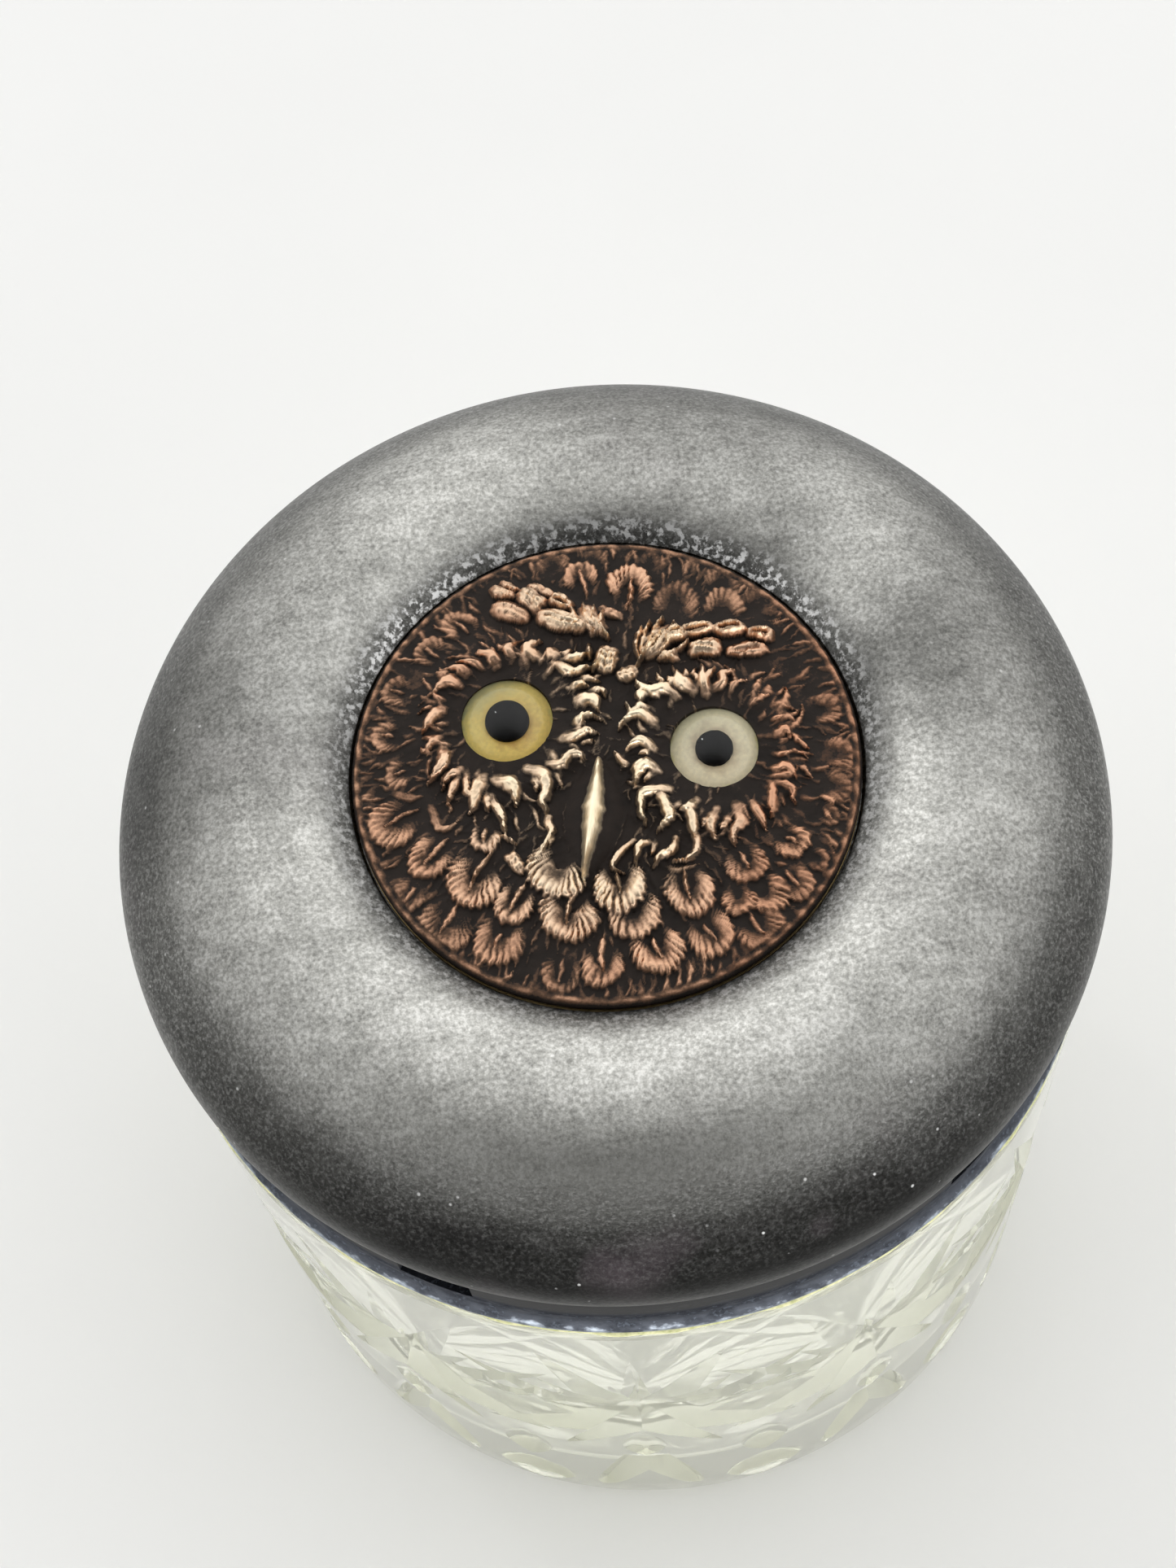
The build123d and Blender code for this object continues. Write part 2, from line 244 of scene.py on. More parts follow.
class Shader:
    """A principled material, with short ways to add what varies over its surface."""

    def __init__(self, name, **values):
        self.material = bpy.data.materials.new(name)
        self.material.use_nodes = True
        self.tree = self.material.node_tree
        self.bsdf = self.tree.nodes["Principled BSDF"]
        self.place = self.add("ShaderNodeTexCoord").outputs["Object"]
        for key, value in values.items():
            self.bsdf.inputs[key.replace("_", " ")].default_value = value

    def add(self, kind, **settings):
        node = self.tree.nodes.new(kind)
        for key, value in settings.items():
            setattr(node, key, value)
        return node

    def wire(self, value, socket):
        """Connect an output, or set a plain value."""
        if isinstance(value, bpy.types.NodeSocket):
            self.tree.links.new(value, socket)
        else:
            socket.default_value = value

    def noise(self, size, detail=3.0, roughness=0.5, stretch=(1, 1, 1)):
        """Noise with features about `size` millimetres across."""
        where = self.add("ShaderNodeMapping")
        self.wire(self.place, where.inputs["Vector"])
        where.inputs["Scale"].default_value = [1 / (size * MM * s) for s in stretch]
        node = self.add("ShaderNodeTexNoise")
        self.wire(where.outputs[0], node.inputs["Vector"])
        node.inputs["Scale"].default_value = 1.0
        node.inputs["Detail"].default_value = detail
        node.inputs["Roughness"].default_value = roughness
        return node.outputs[0]

    def specks(self, size, chance):
        """A mask of small separate spots."""
        where = self.add("ShaderNodeMapping")
        self.wire(self.place, where.inputs["Vector"])
        where.inputs["Scale"].default_value = [1 / (size * MM)] * 3
        cells = self.add("ShaderNodeTexVoronoi")
        self.wire(where.outputs[0], cells.inputs["Vector"])
        cells.inputs["Scale"].default_value = 1.0
        near = self.ramp(cells.outputs["Distance"], (0.12, 1), (0.3, 0))
        pick = self.add("ShaderNodeSeparateColor")
        self.wire(cells.outputs["Color"], pick.inputs[0])
        chosen = self.ramp(pick.outputs[0], (1 - chance - 0.001, 0), (1 - chance, 1))
        return self.times(near, chosen)

    def ramp(self, value, *stops):
        """Map a value through stops of (position, colour or grey)."""
        node = self.add("ShaderNodeValToRGB")
        fill_ramp(node.color_ramp, stops)
        self.wire(value, node.inputs[0])
        return node.outputs[0]

    def maths(self, kind, *values):
        node = self.add("ShaderNodeMath", operation=kind)
        for value, socket in zip(values, node.inputs):
            self.wire(value, socket)
        return node.outputs[0]

    def times(self, first, second):
        return self.maths("MULTIPLY", first, second)

    def plus(self, value, other, share=1.0, middle=0.0):
        """A value plus a share of another one, which counts from `middle`."""
        if middle:
            other = self.maths("SUBTRACT", other, middle)
        if share != 1.0:
            other = self.times(other, share)
        return self.maths("ADD", value, other)

    def mix(self, factor, first, second, kind="MIX"):
        node = self.add("ShaderNodeMix", data_type="RGBA", blend_type=kind)
        self.wire(factor, node.inputs[0])
        for value, index in ((first, 6), (second, 7)):
            self.wire((*value, 1) if isinstance(value, tuple) else value, node.inputs[index])
        return node.outputs[2]

    def darken(self, colour, share):
        """Multiply a colour by a grey."""
        return self.mix(1.0, colour, share, "MULTIPLY")

    def split(self):
        """The X, Y and Z of the place on the piece, in metres."""
        node = self.add("ShaderNodeSeparateXYZ")
        self.wire(self.place, node.inputs[0])
        return node.outputs

    def radius(self):
        """Distance from the Z axis, in millimetres."""
        x, y, _ = self.split()
        square = self.plus(self.times(x, x), self.times(y, y))
        return self.maths("DIVIDE", self.maths("SQRT", square), MM)

    def distance(self, spot):
        """Distance from a point given in millimetres, in millimetres."""
        node = self.add("ShaderNodeVectorMath", operation="DISTANCE")
        self.wire(self.place, node.inputs[0])
        node.inputs[1].default_value = [value * MM for value in spot]
        return self.maths("DIVIDE", node.outputs["Value"], MM)

    def fraction(self, value, low, high):
        """Where a value lies between two others, from 0 to 1."""
        node = self.add("ShaderNodeMapRange")
        self.wire(value, node.inputs[0])
        node.inputs[1].default_value = low
        node.inputs[2].default_value = high
        return node.outputs[0]

    def attribute(self, name):
        return self.add("ShaderNodeAttribute", attribute_name=name).outputs["Fac"]

    def colour(self, value):
        self.wire(value, self.bsdf.inputs["Base Color"])

    def drive(self, name, value):
        self.wire(value, self.bsdf.inputs[name])

    def bump(self, height, depth):
        """Raise the surface by up to `depth` millimetres."""
        node = self.add("ShaderNodeBump")
        node.inputs["Strength"].default_value = 1.0
        node.inputs["Distance"].default_value = depth * MM
        self.wire(height, node.inputs["Height"])
        self.wire(node.outputs[0], self.bsdf.inputs["Normal"])


# ---- materials ---------------------------------------------------------------------------
def clear_glass():
    """Old cut glass: clear, a little uneven, with a yellow-green tint."""
    s = Shader("clear_glass", Transmission_Weight=0.84, IOR=1.5)
    s.colour(s.ramp(s.noise(30, 2), (0.3, (0.960, 0.970, 0.830)), (0.7, (0.985, 0.988, 0.890))))
    s.drive("Roughness", s.ramp(s.noise(6, 4), (0.45, 0.01), (0.75, 0.06)))
    s.bump(s.noise(5, 2), 0.02)
    return s.material


def worn_metal(name, dark, light, roughness, grain=0.35, depth=0.015):
    """A plain worn metal: cloudy tone, fine grain, a little relief."""
    s = Shader(name, Metallic=1.0)
    cloud = s.noise(7, 4)
    fine = s.noise(grain, 3, 0.6)
    tone = s.plus(s.times(cloud, 0.6), fine, 0.4)
    s.colour(s.ramp(tone, (0.35, dark), (0.65, light)))
    s.drive("Roughness", s.ramp(cloud, (0.3, roughness - 0.08), (0.7, roughness + 0.1)))
    s.bump(fine, depth)
    return s.material


# Soft darker patches on the lid: centre, reach, brightness left in the middle.
DARKER_PATCHES = (
    ((19.3, 5.2, 84), 9, 0.42), ((14.0, 15.0, 84), 7, 0.55), ((-30, 2, 80), 15, 0.5),
    ((-16, -9, 84), 4, 0.8), ((12, 23, 84), 13, 0.62), ((-25, 8, 84), 17, 0.46), ((25, 2, 84), 13, 0.58),
    ((24, -13, 84), 9, 0.78), ((3, 27, 84), 12, 0.66), ((25, 12, 82), 11, 0.66),
    ((-22, -11, 82), 9, 0.74), ((-20, 18, 82), 11, 0.8),
)


# Painted light and shade over the lid, from the medallion's edge to the lid's rim, as shares of that
# distance: darker next to the medallion, a painted highlight over the crest, painted shade towards the rim.
LID_PAINTED_LIGHT = ((0.0, 0.12), (0.07, 0.25), (0.11, 0.52), (0.15, 0.88), (0.20, 1.0), (0.36, 0.88),
              (0.50, 0.80), (0.66, 0.60), (0.80, 0.26), (0.92, 0.15), (1.0, 0.28))


def front_rim_shade(s, away, y):
    """How bright the lid stays where painted shade, standing for a dark reflection, darkens the front of its
    rim.
    """
    rimward = s.ramp(s.fraction(away, 28.8, 32.8), (0.0, 0), (0.35, 0.35), (0.75, 0.82), (1.0, 0.93))
    front = s.ramp(s.fraction(y, -0.030, -0.006), (0.0, 1), (1.0, 0))
    return s.maths("SUBTRACT", 1.0, s.times(rimward, front))


def chalk_ring(s, away, y):
    """Crumbs of polish left round the medallion, mostly at the back."""
    ring = s.ramp(s.fraction(away, 17.6, 19.6), (0.0, 0.7), (0.25, 1), (0.5, 0.75), (1.0, 0))
    back = s.ramp(s.fraction(y, 0.004, 0.014), (0, 0.25), (1, 1))
    crumbs = s.ramp(s.noise(0.5, 3, 0.6), (0.50, 0), (0.60, 1.0))
    return s.times(s.times(crumbs, ring), back)


def pewter():
    """Aged pewter: fine mottling, wiped streaks and chalky residue, with painted shade that darkens the rim
    and its front, and painted highlights on the crest and along the lower edge.
    """
    s = Shader("pewter", Metallic=1.0)
    away = s.radius()
    _, y, z = s.split()
    fine = s.noise(0.30, 3, 0.65)
    medium = s.noise(2.0, 4, 0.6)
    cloud = s.noise(13, 3)
    streak = s.noise(1.4, 3, 0.5, stretch=(7, 0.8, 1))
    tone = s.times(fine, 0.56)
    for layer, share in ((medium, 0.22), (cloud, 0.08), (streak, 0.14)):
        tone = s.plus(tone, layer, share)
    metal = s.ramp(tone, (0.37, (0.27, 0.268, 0.250)), (0.5, (0.49, 0.487, 0.455)),
                   (0.63, (0.80, 0.795, 0.755)))
    grain = s.ramp(s.noise(0.28, 2, 0.7), (0.48, 0), (0.70, 0.32))
    # painted light and shade: the ramp over the radius brightens the crest and darkens the rim
    aged_and_painted_light = s.mix(grain, s.darken(metal, s.ramp(s.fraction(away, 17, 35.2), *LID_PAINTED_LIGHT)), (0.62, 0.62, 0.60))
    # painted shade: the front of the rim is darkened
    aged_and_painted_light = s.darken(aged_and_painted_light, front_rim_shade(s, away, y))
    for spot, reach, share in DARKER_PATCHES:
        patch = s.plus(s.fraction(s.distance(spot), 0, reach), cloud, 0.3)
        aged_and_painted_light = s.darken(aged_and_painted_light, s.ramp(patch, (0.15, share), (1.0, 1.0)))
    violet = s.ramp(s.noise(9, 2), (0.58, 0), (0.75, 0.08))
    aged_and_painted_light = s.mix(violet, aged_and_painted_light, (0.21, 0.17, 0.19))
    spots = s.times(s.specks(0.50, 0.015), 0.35)
    aged_and_painted_light = s.mix(s.maths("MAXIMUM", chalk_ring(s, away, y), spots), aged_and_painted_light, (0.88, 0.88, 0.87))
    # painted highlight: a pale line along the lid's lower edge
    foot = s.fraction(z, LID_LOW[2] * MM, (LID_LOW[2] + 1.2) * MM)
    aged_and_painted_light = s.mix(s.ramp(foot, (0.30, 0.5), (0.7, 0.0)), aged_and_painted_light, (0.72, 0.72, 0.72))
    s.colour(aged_and_painted_light)
    s.drive("Roughness", s.ramp(tone, (0.35, 0.48), (0.65, 0.36)))
    s.bump(s.plus(fine, medium), 0.02)
    return s.material


def collar_metal():
    """Plated collar: mottled, paler and bluish on its lip, and black and charcoal above, which is painted
    shade where it lies in the gap under the lid.
    """
    s = Shader("collar_metal", Metallic=1.0)
    level = s.fraction(s.split()[2], COLLAR_LOW[2] * MM, COLLAR_HIGH[2] * MM)
    blotch = s.noise(1.6, 4, 0.6, stretch=(1, 1, 0.5))
    fine = s.noise(0.35, 3, 0.6)
    height = s.plus(level, blotch, 0.30, middle=0.5)
    # painted shade: the ramp turns black and charcoal towards the top, in the gap under the lid
    tone = s.ramp(height, (0.0, (0.52, 0.56, 0.62)), (0.05, (0.36, 0.40, 0.45)),
                  (0.11, (0.065, 0.071, 0.084)), (0.44, (0.022, 0.024, 0.030)),
                  (0.54, (0.005, 0.005, 0.005)), (1.0, (0.005, 0.005, 0.005)))
    pale = s.ramp(s.plus(fine, blotch, 0.7), (0.98, 0), (1.08, 0.12))
    pale = s.times(pale, s.ramp(height, (0.40, 1), (0.52, 0)))
    s.colour(s.mix(pale, tone, (0.42, 0.48, 0.58)))
    s.drive("Metallic", s.ramp(height, (0.42, 1.0), (0.54, 0.0)))
    s.drive("Roughness", s.ramp(s.plus(blotch, height), (0.5, 0.44), (1.5, 0.95)))
    s.bump(fine, 0.02)
    return s.material


def stamped_copper():
    """Copper with black-brown patina in its hollows, rubbed to brass tones near the beak."""
    s = Shader("copper", Specular_IOR_Level=0.18)
    grit = s.noise(0.20, 3, 0.6)
    smudge = s.noise(1.3, 4)
    wear = s.plus(s.attribute("wear"), grit, 0.34, middle=0.5)
    wear = s.plus(wear, smudge, 0.26, middle=0.5)
    rubbed = s.ramp(wear, (0.18, 0), (0.36, 0.16), (0.54, 0.52), (0.80, 1))
    copper = s.mix(s.noise(3, 3), (0.56, 0.27, 0.16), (0.74, 0.42, 0.26))
    brass = s.mix(s.noise(2, 3), (0.94, 0.77, 0.52), (1.0, 0.91, 0.70))
    metal = s.mix(s.attribute("gold"), copper, brass)
    patina = s.mix(smudge, (0.006, 0.005, 0.004), (0.034, 0.024, 0.019))
    s.colour(s.mix(rubbed, patina, metal))
    s.drive("Metallic", s.ramp(wear, (0.22, 0.0), (0.45, 1.0)))
    s.drive("Roughness", s.ramp(wear, (0.35, 0.68), (0.70, 0.36)))
    s.bump(grit, 0.03)
    return s.material


def iris(name, rim, middle, centre, radius, warm_side, grey):
    """A painted iris: rings of colour, fine brushing, a warmer side, which on the left eye is partly painted
    shade, and a greyer patch at the back.
    """
    s = Shader(name, Roughness=0.35)
    away = s.maths("DIVIDE", s.radius(), radius)
    x, y, _ = s.split()
    # on the left eye the warmer, browner side towards the lower right is partly painted shade
    side = s.plus(s.times(x, warm_side[0]), y, warm_side[1])
    side = s.fraction(s.maths("DIVIDE", side, radius * MM), -0.9, 1.0)
    smear = s.noise(0.8, 4)
    rings = s.plus(away, smear, 0.55, middle=0.5)
    plain, warm = (s.ramp(rings, (0.40, centre[k]), (0.62, middle[k]), (0.86, middle[k]), (1.0, rim[k]))
                   for k in (0, 1))
    fibres = s.ramp(s.noise(0.25, 3), (0.35, 0.90), (0.65, 1.0))
    painted = s.darken(s.mix(side, plain, warm), fibres)
    back = s.plus(s.times(x, -0.5), y, 0.85)
    back = s.plus(s.maths("DIVIDE", back, radius * MM), smear, 0.4)
    s.colour(s.mix(s.ramp(back, (0.55, 0), (1.0, grey)), painted, (0.30, 0.31, 0.17)))
    s.bump(smear, 0.02)
    return s.material


def eye_glass():
    s = Shader("eye_glass", Transmission_Weight=1.0, IOR=1.38)
    s.colour(s.ramp(s.noise(2, 2), (0.3, (0.985, 0.99, 0.975)), (0.7, (1.0, 1.0, 1.0))))
    s.drive("Roughness", s.ramp(s.noise(0.7, 4), (0.45, 0.01), (0.7, 0.07)))
    s.bump(s.noise(1.5, 2), 0.004)
    return s.material


def black_glass():
    s = Shader("black_glass", IOR=1.08)    # it is fused under the clear glass of the eye
    s.colour(s.ramp(s.noise(0.8, 3), (0.3, (0.004, 0.004, 0.004)), (0.7, (0.010, 0.010, 0.010))))
    s.drive("Roughness", s.ramp(s.noise(0.5, 3), (0.4, 0.08), (0.7, 0.22)))
    s.bump(s.noise(0.6, 2), 0.008)
    return s.material


def chalky(name, dark, light, size, depth, roughness=0.85):
    """A dull mineral or organic stuff, such as cement, pitch or cork."""
    s = Shader(name)
    grain = s.noise(size, 5, 0.65)
    s.colour(s.ramp(grain, (0.35, dark), (0.65, light)))
    s.drive("Roughness", s.ramp(s.noise(size * 3, 2), (0.3, roughness - 0.1), (0.7, roughness)))
    s.bump(grain, depth)
    return s.material


def floor_paper():
    s = Shader("floor_paper")
    s.colour(s.ramp(s.noise(60, 3), (0.3, (0.92, 0.92, 0.905)), (0.7, (0.94, 0.94, 0.925))))
    s.drive("Roughness", s.ramp(s.noise(20, 2), (0.3, 0.75), (0.7, 0.9)))
    s.bump(s.noise(0.8, 3), 0.01)
    return s.material


# ---- the cut glass -----------------------------------------------------------------------
FOOT_Z = 3.8              # the glass is widest here
SHOULDER_Z = CEMENT_LOW[2]
FOOT_R = JAR_HIGH[0]
SHOULDER_R = 35.0
NECK_R = 30.6
BORE_R = NECK_R - 3.0
FLOOR_Z = 9.0
STAR_COUNT = 11
STAR_TURN = -5.3          # the first star's angle from the front
STAR_Z = 36.0
STEP = 360 / STAR_COUNT
# Mitres of one star: angle from upright, length, depth at the star's centre.
UPRIGHT = (0, 22, 1.3)
PAIRS = ((8, 14, 1.1), (17, 24, 1.8), (29, 16, 1.2), (42, 21, 1.7), (58, 19, 1.3), (72, 19, 1.9),
         (99, 17, 1.9), (118, 15, 2.0), (149, 13, 1.7))
MITRE = 57                # half the angle of the cutting wheel
OVERLAP = -0.4            # mitres start this far behind the centre, so that they meet
CHEVRON = (163, 15, 1.5)  # each leg of the inverted V under a star
CHEVRON_Z = STAR_Z - 15.5
PETAL = 0.80 * radians(STEP) * FOOT_R
# Round-bottomed cuts: share of the way to the next star, height, lean, length, half width, depth, steps.
OLIVES = ((0.10, STAR_Z - 0.5, 90, PETAL, 4.8, 1.15, 19), (0.50, 3.6, 0, 10.5, 3.9, 1.25, 17),
          (0.50, 15.5, 0, 11, 2.2, 0.9, 13), (0.0, STAR_Z - 15, 0, 10, 1.9, 0.9, 13))


def glass_radius(height):
    """The jar narrows a little towards its shoulder."""
    return FOOT_R + (SHOULDER_R - FOOT_R) * (height - FOOT_Z) / (SHOULDER_Z - FOOT_Z)


def carve(turn, height, lean, length, profile, steps=12, start=0.0):
    """A cutter that follows the curved side of the jar. `profile(t)` gives its outline at t."""
    rings = []
    for t in np.linspace(0, 1, steps):
        travel = start + (length - start) * t
        level = height + travel * cos(radians(lean))
        radius = glass_radius(level)
        a = radians(turn) + travel * sin(radians(lean)) / radius
        away = np.array([sin(a), -cos(a), 0])
        round_ = np.array([cos(a), sin(a), 0])
        up = np.array([0, 0, 1.0])
        across = cos(radians(lean)) * round_ - sin(radians(lean)) * up
        centre = away * radius + up * level
        rings.append(np.array([centre + across * u + away * w for u, w in profile(t)]))
    return skin(rings)


def mitre(depth, fade, clear=1.2):
    """A V-shaped profile that runs out towards its tip."""
    def profile(t):
        deep = depth * (1 - t) ** fade - 0.04
        half = (deep + clear) * tan(radians(MITRE))
        return ((0, -deep), (half, clear), (-half, clear))
    return profile


def olive(half_width, depth, clear=1.0, count=9):
    """A round-bottomed profile that is pointed at both ends."""
    def profile(t):
        open_ = max(4 * t * (1 - t), 0.02)
        across = np.linspace(-1, 1, count) * half_width * open_
        floor = [(u, -depth * open_ * (1 - (u / (half_width * open_)) ** 2)) for u in across]
        return [*floor, (across[-1], clear), (across[0], clear)]
    return profile


def star_cutters(turn):
    """Everything cut for one star and the space to its right."""
    def ray(height, side, cut, fade=0.8):
        lean, length, depth = cut
        return carve(turn, height, side * lean, length, mitre(depth, fade), start=OVERLAP)

    solids = [ray(STAR_Z, 1, UPRIGHT)]
    for side in (-1, 1):
        solids += [ray(STAR_Z, side, cut) for cut in PAIRS]
        solids.append(ray(CHEVRON_Z, side, CHEVRON, fade=0.35))
    for share, height, lean, length, half_width, depth, steps in OLIVES:
        solids.append(carve(turn + STEP * share, height, lean, length, olive(half_width, depth), steps))
    return solids


def glass_section():
    """Half of the jar's outline, from the middle of its foot round to the middle of its floor."""
    section = [(0, 0), (32.6, 0), (33.2, 0)]
    section += flow((33.2, 0), (0.95, 0.25), (FOOT_R, FOOT_Z), (0.05, 1.0), 9)[1:]
    section += [(glass_radius(z), z) for z in np.linspace(FOOT_Z, SHOULDER_Z - 1.0, 16)[1:]]
    section += arc(SHOULDER_R - 1.0, SHOULDER_Z - 1.0, 1.0, 0, 90, 7)[1:]
    section += [(NECK_R + 0.4, SHOULDER_Z), (NECK_R, SHOULDER_Z + 0.4)]
    section += arc(NECK_R - 0.6, JAR_HIGH[2] - 0.6, 0.6, 0, 90, 5)
    section += arc(BORE_R + 0.6, JAR_HIGH[2] - 0.6, 0.6, 90, 180, 5)
    section += arc(BORE_R - 4, FLOOR_Z + 4, 4, 0, -90, 12)
    return section + [(0, FLOOR_Z)]


def glass_jar(shader):
    points, faces = lathe(glass_section(), 320, closed=False)
    piece = make_object("jar_glass", make_mesh("jar_glass", points, faces))
    cutters = []
    for k in range(STAR_COUNT):
        cutters += star_cutters(STAR_TURN + k * STEP)
    subtract(piece, cutters)
    return dress(piece, "jar", shader, "glass_jar", angle=11)


# ---- collar and cement -------------------------------------------------------------------
NOTCHES = (-27.0, 40.5, 186.75)   # angles from the front
NOTCH_ANGLE = 9.0
NOTCH_Z = 68.6
FLANGE_R = 32.3
COLLAR_WALL_R = 34.3
COLLAR_T = 0.7
LUG_ANGLE = 5.5
LUG_R = 33.2
LUG_Z = (69.4, 71.6)
LOCK_TURN = 25.0
STOP_HALF = 1.5           # half the angle of the stop that ends a lug's travel
STOP_GAP = 2.0            # angle between a lug's end and the middle of its stop


def collar_section():
    """The collar's wall, with a rolled lip below and a flange turned inwards above."""
    lip, low, top = COLLAR_HIGH[0], COLLAR_LOW[2], COLLAR_HIGH[2]
    inner = COLLAR_WALL_R - COLLAR_T
    return ([(inner, low + 0.05)] + arc(lip - 0.45, low + 0.45, 0.45, -90, 40, 9)
            + [(COLLAR_WALL_R + 0.1, low + 1.25), (COLLAR_WALL_R, low + 1.7), (COLLAR_WALL_R, low + 3.4),
               (COLLAR_WALL_R, low + 5.0)]
            + arc(COLLAR_WALL_R - 0.5, top - 0.5, 0.5, 0, 90, 6)
            + [(33.2, top), (FLANGE_R, top), (FLANGE_R, top - COLLAR_T), (inner, top - COLLAR_T),
               (inner, low + 3.4)])


def worn_collar(turn, radius, height):
    """The wall is a little out of true and its upper edge is bitten by wear."""
    upper = np.clip((height - NOTCH_Z) / (COLLAR_HIGH[2] - NOTCH_Z), 0, 1) ** 2
    bite = waver(turn, (5, 11, 17, 29, 43, 61), 3)
    radius = radius + upper * 0.10 * waver(turn, (3, 7, 13, 23), 5)
    height = height - upper * 0.16 * np.clip(bite + 0.2, 0, 1)
    lower = np.clip((COLLAR_LOW[2] + 1.0 - height) / 1.0, 0, 1)
    return radius, height + lower * 0.10 * waver(turn, (4, 9, 15, 26), 11)


def collar(shader):
    """The collar, with its notches cut and a stop inside it where each lug comes to rest."""
    piece = make_object("collar", make_mesh("collar", *lathe(collar_section(), 420, bend=worn_collar)))
    half = NOTCH_ANGLE / 2
    subtract(piece, [block(FLANGE_R - 1.5, COLLAR_HIGH[0] + 1, NOTCH_Z, COLLAR_HIGH[2] + 1,
                           angle - half, angle + half) for angle in NOTCHES])
    work = bmesh.new()
    work.from_mesh(piece.data)
    for angle in NOTCHES:
        stop = angle - LOCK_TURN - LUG_ANGLE / 2 - STOP_GAP
        work.from_mesh(block(LUG_R - 0.6, COLLAR_WALL_R - COLLAR_T + 0.2, LUG_Z[0], LUG_Z[1] + 0.4,
                             stop - STOP_HALF, stop + STOP_HALF))
    work.to_mesh(piece.data)
    work.free()
    return dress(piece, "jar", shader, "collar_ring", angle=35)


def cement(shader):
    """Old cement squeezed out unevenly under the collar's lip."""
    low, high = CEMENT_LOW[2], CEMENT_HIGH[2]
    foot = COLLAR_LOW[2]
    section = ([(NECK_R, low), (33.0, low)] + arc(SHOULDER_R - 0.5, foot - 0.32, 0.34, -80, 80, 9)
               + [(33.0, foot), (33.0, high - 0.3), (32.6, high), (NECK_R, high)])

    def ooze(turn, radius, height):
        bead = np.clip((radius - 33.5) / 1.5, 0, 1)
        return radius + bead * (0.30 * waver(turn, (6, 13, 21, 34, 55), 21) + 0.05), height
    mesh = make_mesh("cement", *lathe(section, 420, bend=ooze))
    return dress(make_object("cement", mesh), "jar", shader, "collar_cement", angle=60)


# ---- the pewter lid ----------------------------------------------------------------------
RIM_ROUND = 5.0
EQUATOR = 1.9             # the lid is widest this far above its edge
DOME_ANGLE = 35           # slope where the rim's round gives way to the dome
FALL_ANGLE = 36           # slope at the lip of the recess
CREST_R = 23.5
SEAT_R = 17.6
LIP_Z = 82.9
SHEET = 1.0
SLEEVE_R = SOLDER_HIGH[0] - 1.2
TABS = 3
TAB_AWAY = 12             # distance of the tabs from the medallion's middle
# Soft dents: place, radius, depth.
DENTS = (((-14.5, 16.0), 1.6, 0.28), ((-20, -13), 4, 0.10), ((12, -23), 5, 0.12), ((25, 9), 5, 0.10))


def lid_skin(inset):
    """The spun skin from the lid's edge over the dome to the recess, `inset` inside it."""
    radius = RIM_ROUND - inset
    foot = -degrees(np.arcsin((EQUATOR - inset) / radius))
    top, fall = radians(DOME_ANGLE), radians(FALL_ANGLE)
    edge = arc(LID_R - RIM_ROUND, LID_LOW[2] + EQUATOR, radius, foot, DOME_ANGLE, 14)
    crest = (CREST_R, LID_HIGH[2] - inset)
    lip = (SEAT_R + inset, LIP_Z - inset)
    outer = flow(edge[-1], (-sin(top), cos(top)), crest, (-1, 0), 20)
    inner = flow(crest, (-1, 0), lip, (-cos(fall), -sin(fall)), 12)
    return edge + outer[1:] + inner[1:]


def lid_section():
    """The whole lid: its skin, the recess with its floor, and back under the dome to the edge."""
    floor, foot = SEAT_Z - SHEET, LID_LOW[2]
    return (lid_skin(0) + [(SEAT_R - 0.02, LIP_Z - 0.12), (SEAT_R - 0.05, LIP_Z - 0.3),
                           (SEAT_R, SEAT_Z + 0.2), (SEAT_R - 0.2, SEAT_Z), (0, SEAT_Z),
                           (0, floor), (SEAT_R + SHEET, floor)]
            + lid_skin(SHEET)[::-1] + [(SLEEVE_R, foot + SHEET), (SLEEVE_R, foot)])


def dent(x, y, where, radius, depth):
    """How far a soft dent sinks at each point."""
    away = np.hypot(x - where[0], y - where[1]) / radius
    return depth * np.exp(-away ** 2 * 2.5)


def handled(turn, radius, height):
    """Years of handling: the spun lid is a little out of true, with a few soft dents."""
    x, y = radius * np.cos(turn), radius * np.sin(turn)
    skin_share = np.clip((radius - SEAT_R - 0.5) / 2, 0, 1)
    sink = sum(dent(x, y, *each) for each in DENTS)
    wave = 0.07 * waver(turn, (2, 3, 5), 31) * skin_share
    return radius, height - sink * skin_share + wave * np.clip((radius - 20) / 8, 0, 1)


def lid_holes():
    """Slots for the medallion's tabs and holes for the wires of the eyes."""
    solids = []
    low, high = SEAT_Z - 2.5, SEAT_Z + 1.5
    for k in range(TABS):
        turn = Matrix.Rotation(OWL_TURN + pi / 2 + k * 2 * pi / TABS, 4, "Z")
        corners = [Vector((TAB_AWAY + u * 0.45, v * 1.3, level)) for level in (low, high)
                   for u, v in ((-1, -1), (1, -1), (1, 1), (-1, 1))]
        points = np.array([turn @ corner for corner in corners])
        solids.append(skin([points[:4], points[4:]]))
    for eye in EYES.values():
        ring = [(0.45 * cos(a), 0.45 * sin(a), 0) for a in np.linspace(0, 2 * pi, 16, False)]
        centre = np.array([*eye["centre"], 0])
        solids.append(skin([np.array(ring) + centre + (0, 0, level) for level in (low, high)]))
    return solids


def lid(shader):
    piece = make_object("lid_dome", make_mesh("lid_dome", *lathe(lid_section(), 360, bend=handled)))
    subtract(piece, lid_holes())
    return dress(piece, "lid", shader, "lid_shell", angle=40)


# ---- the owl's relief --------------------------------------------------------------------
RIM_W = 0.7               # plain rim of the stamped face
RIM_TOP = 0.6             # rim height over the underside of the face
DOME = 1.5                # height of the domed ground at the middle


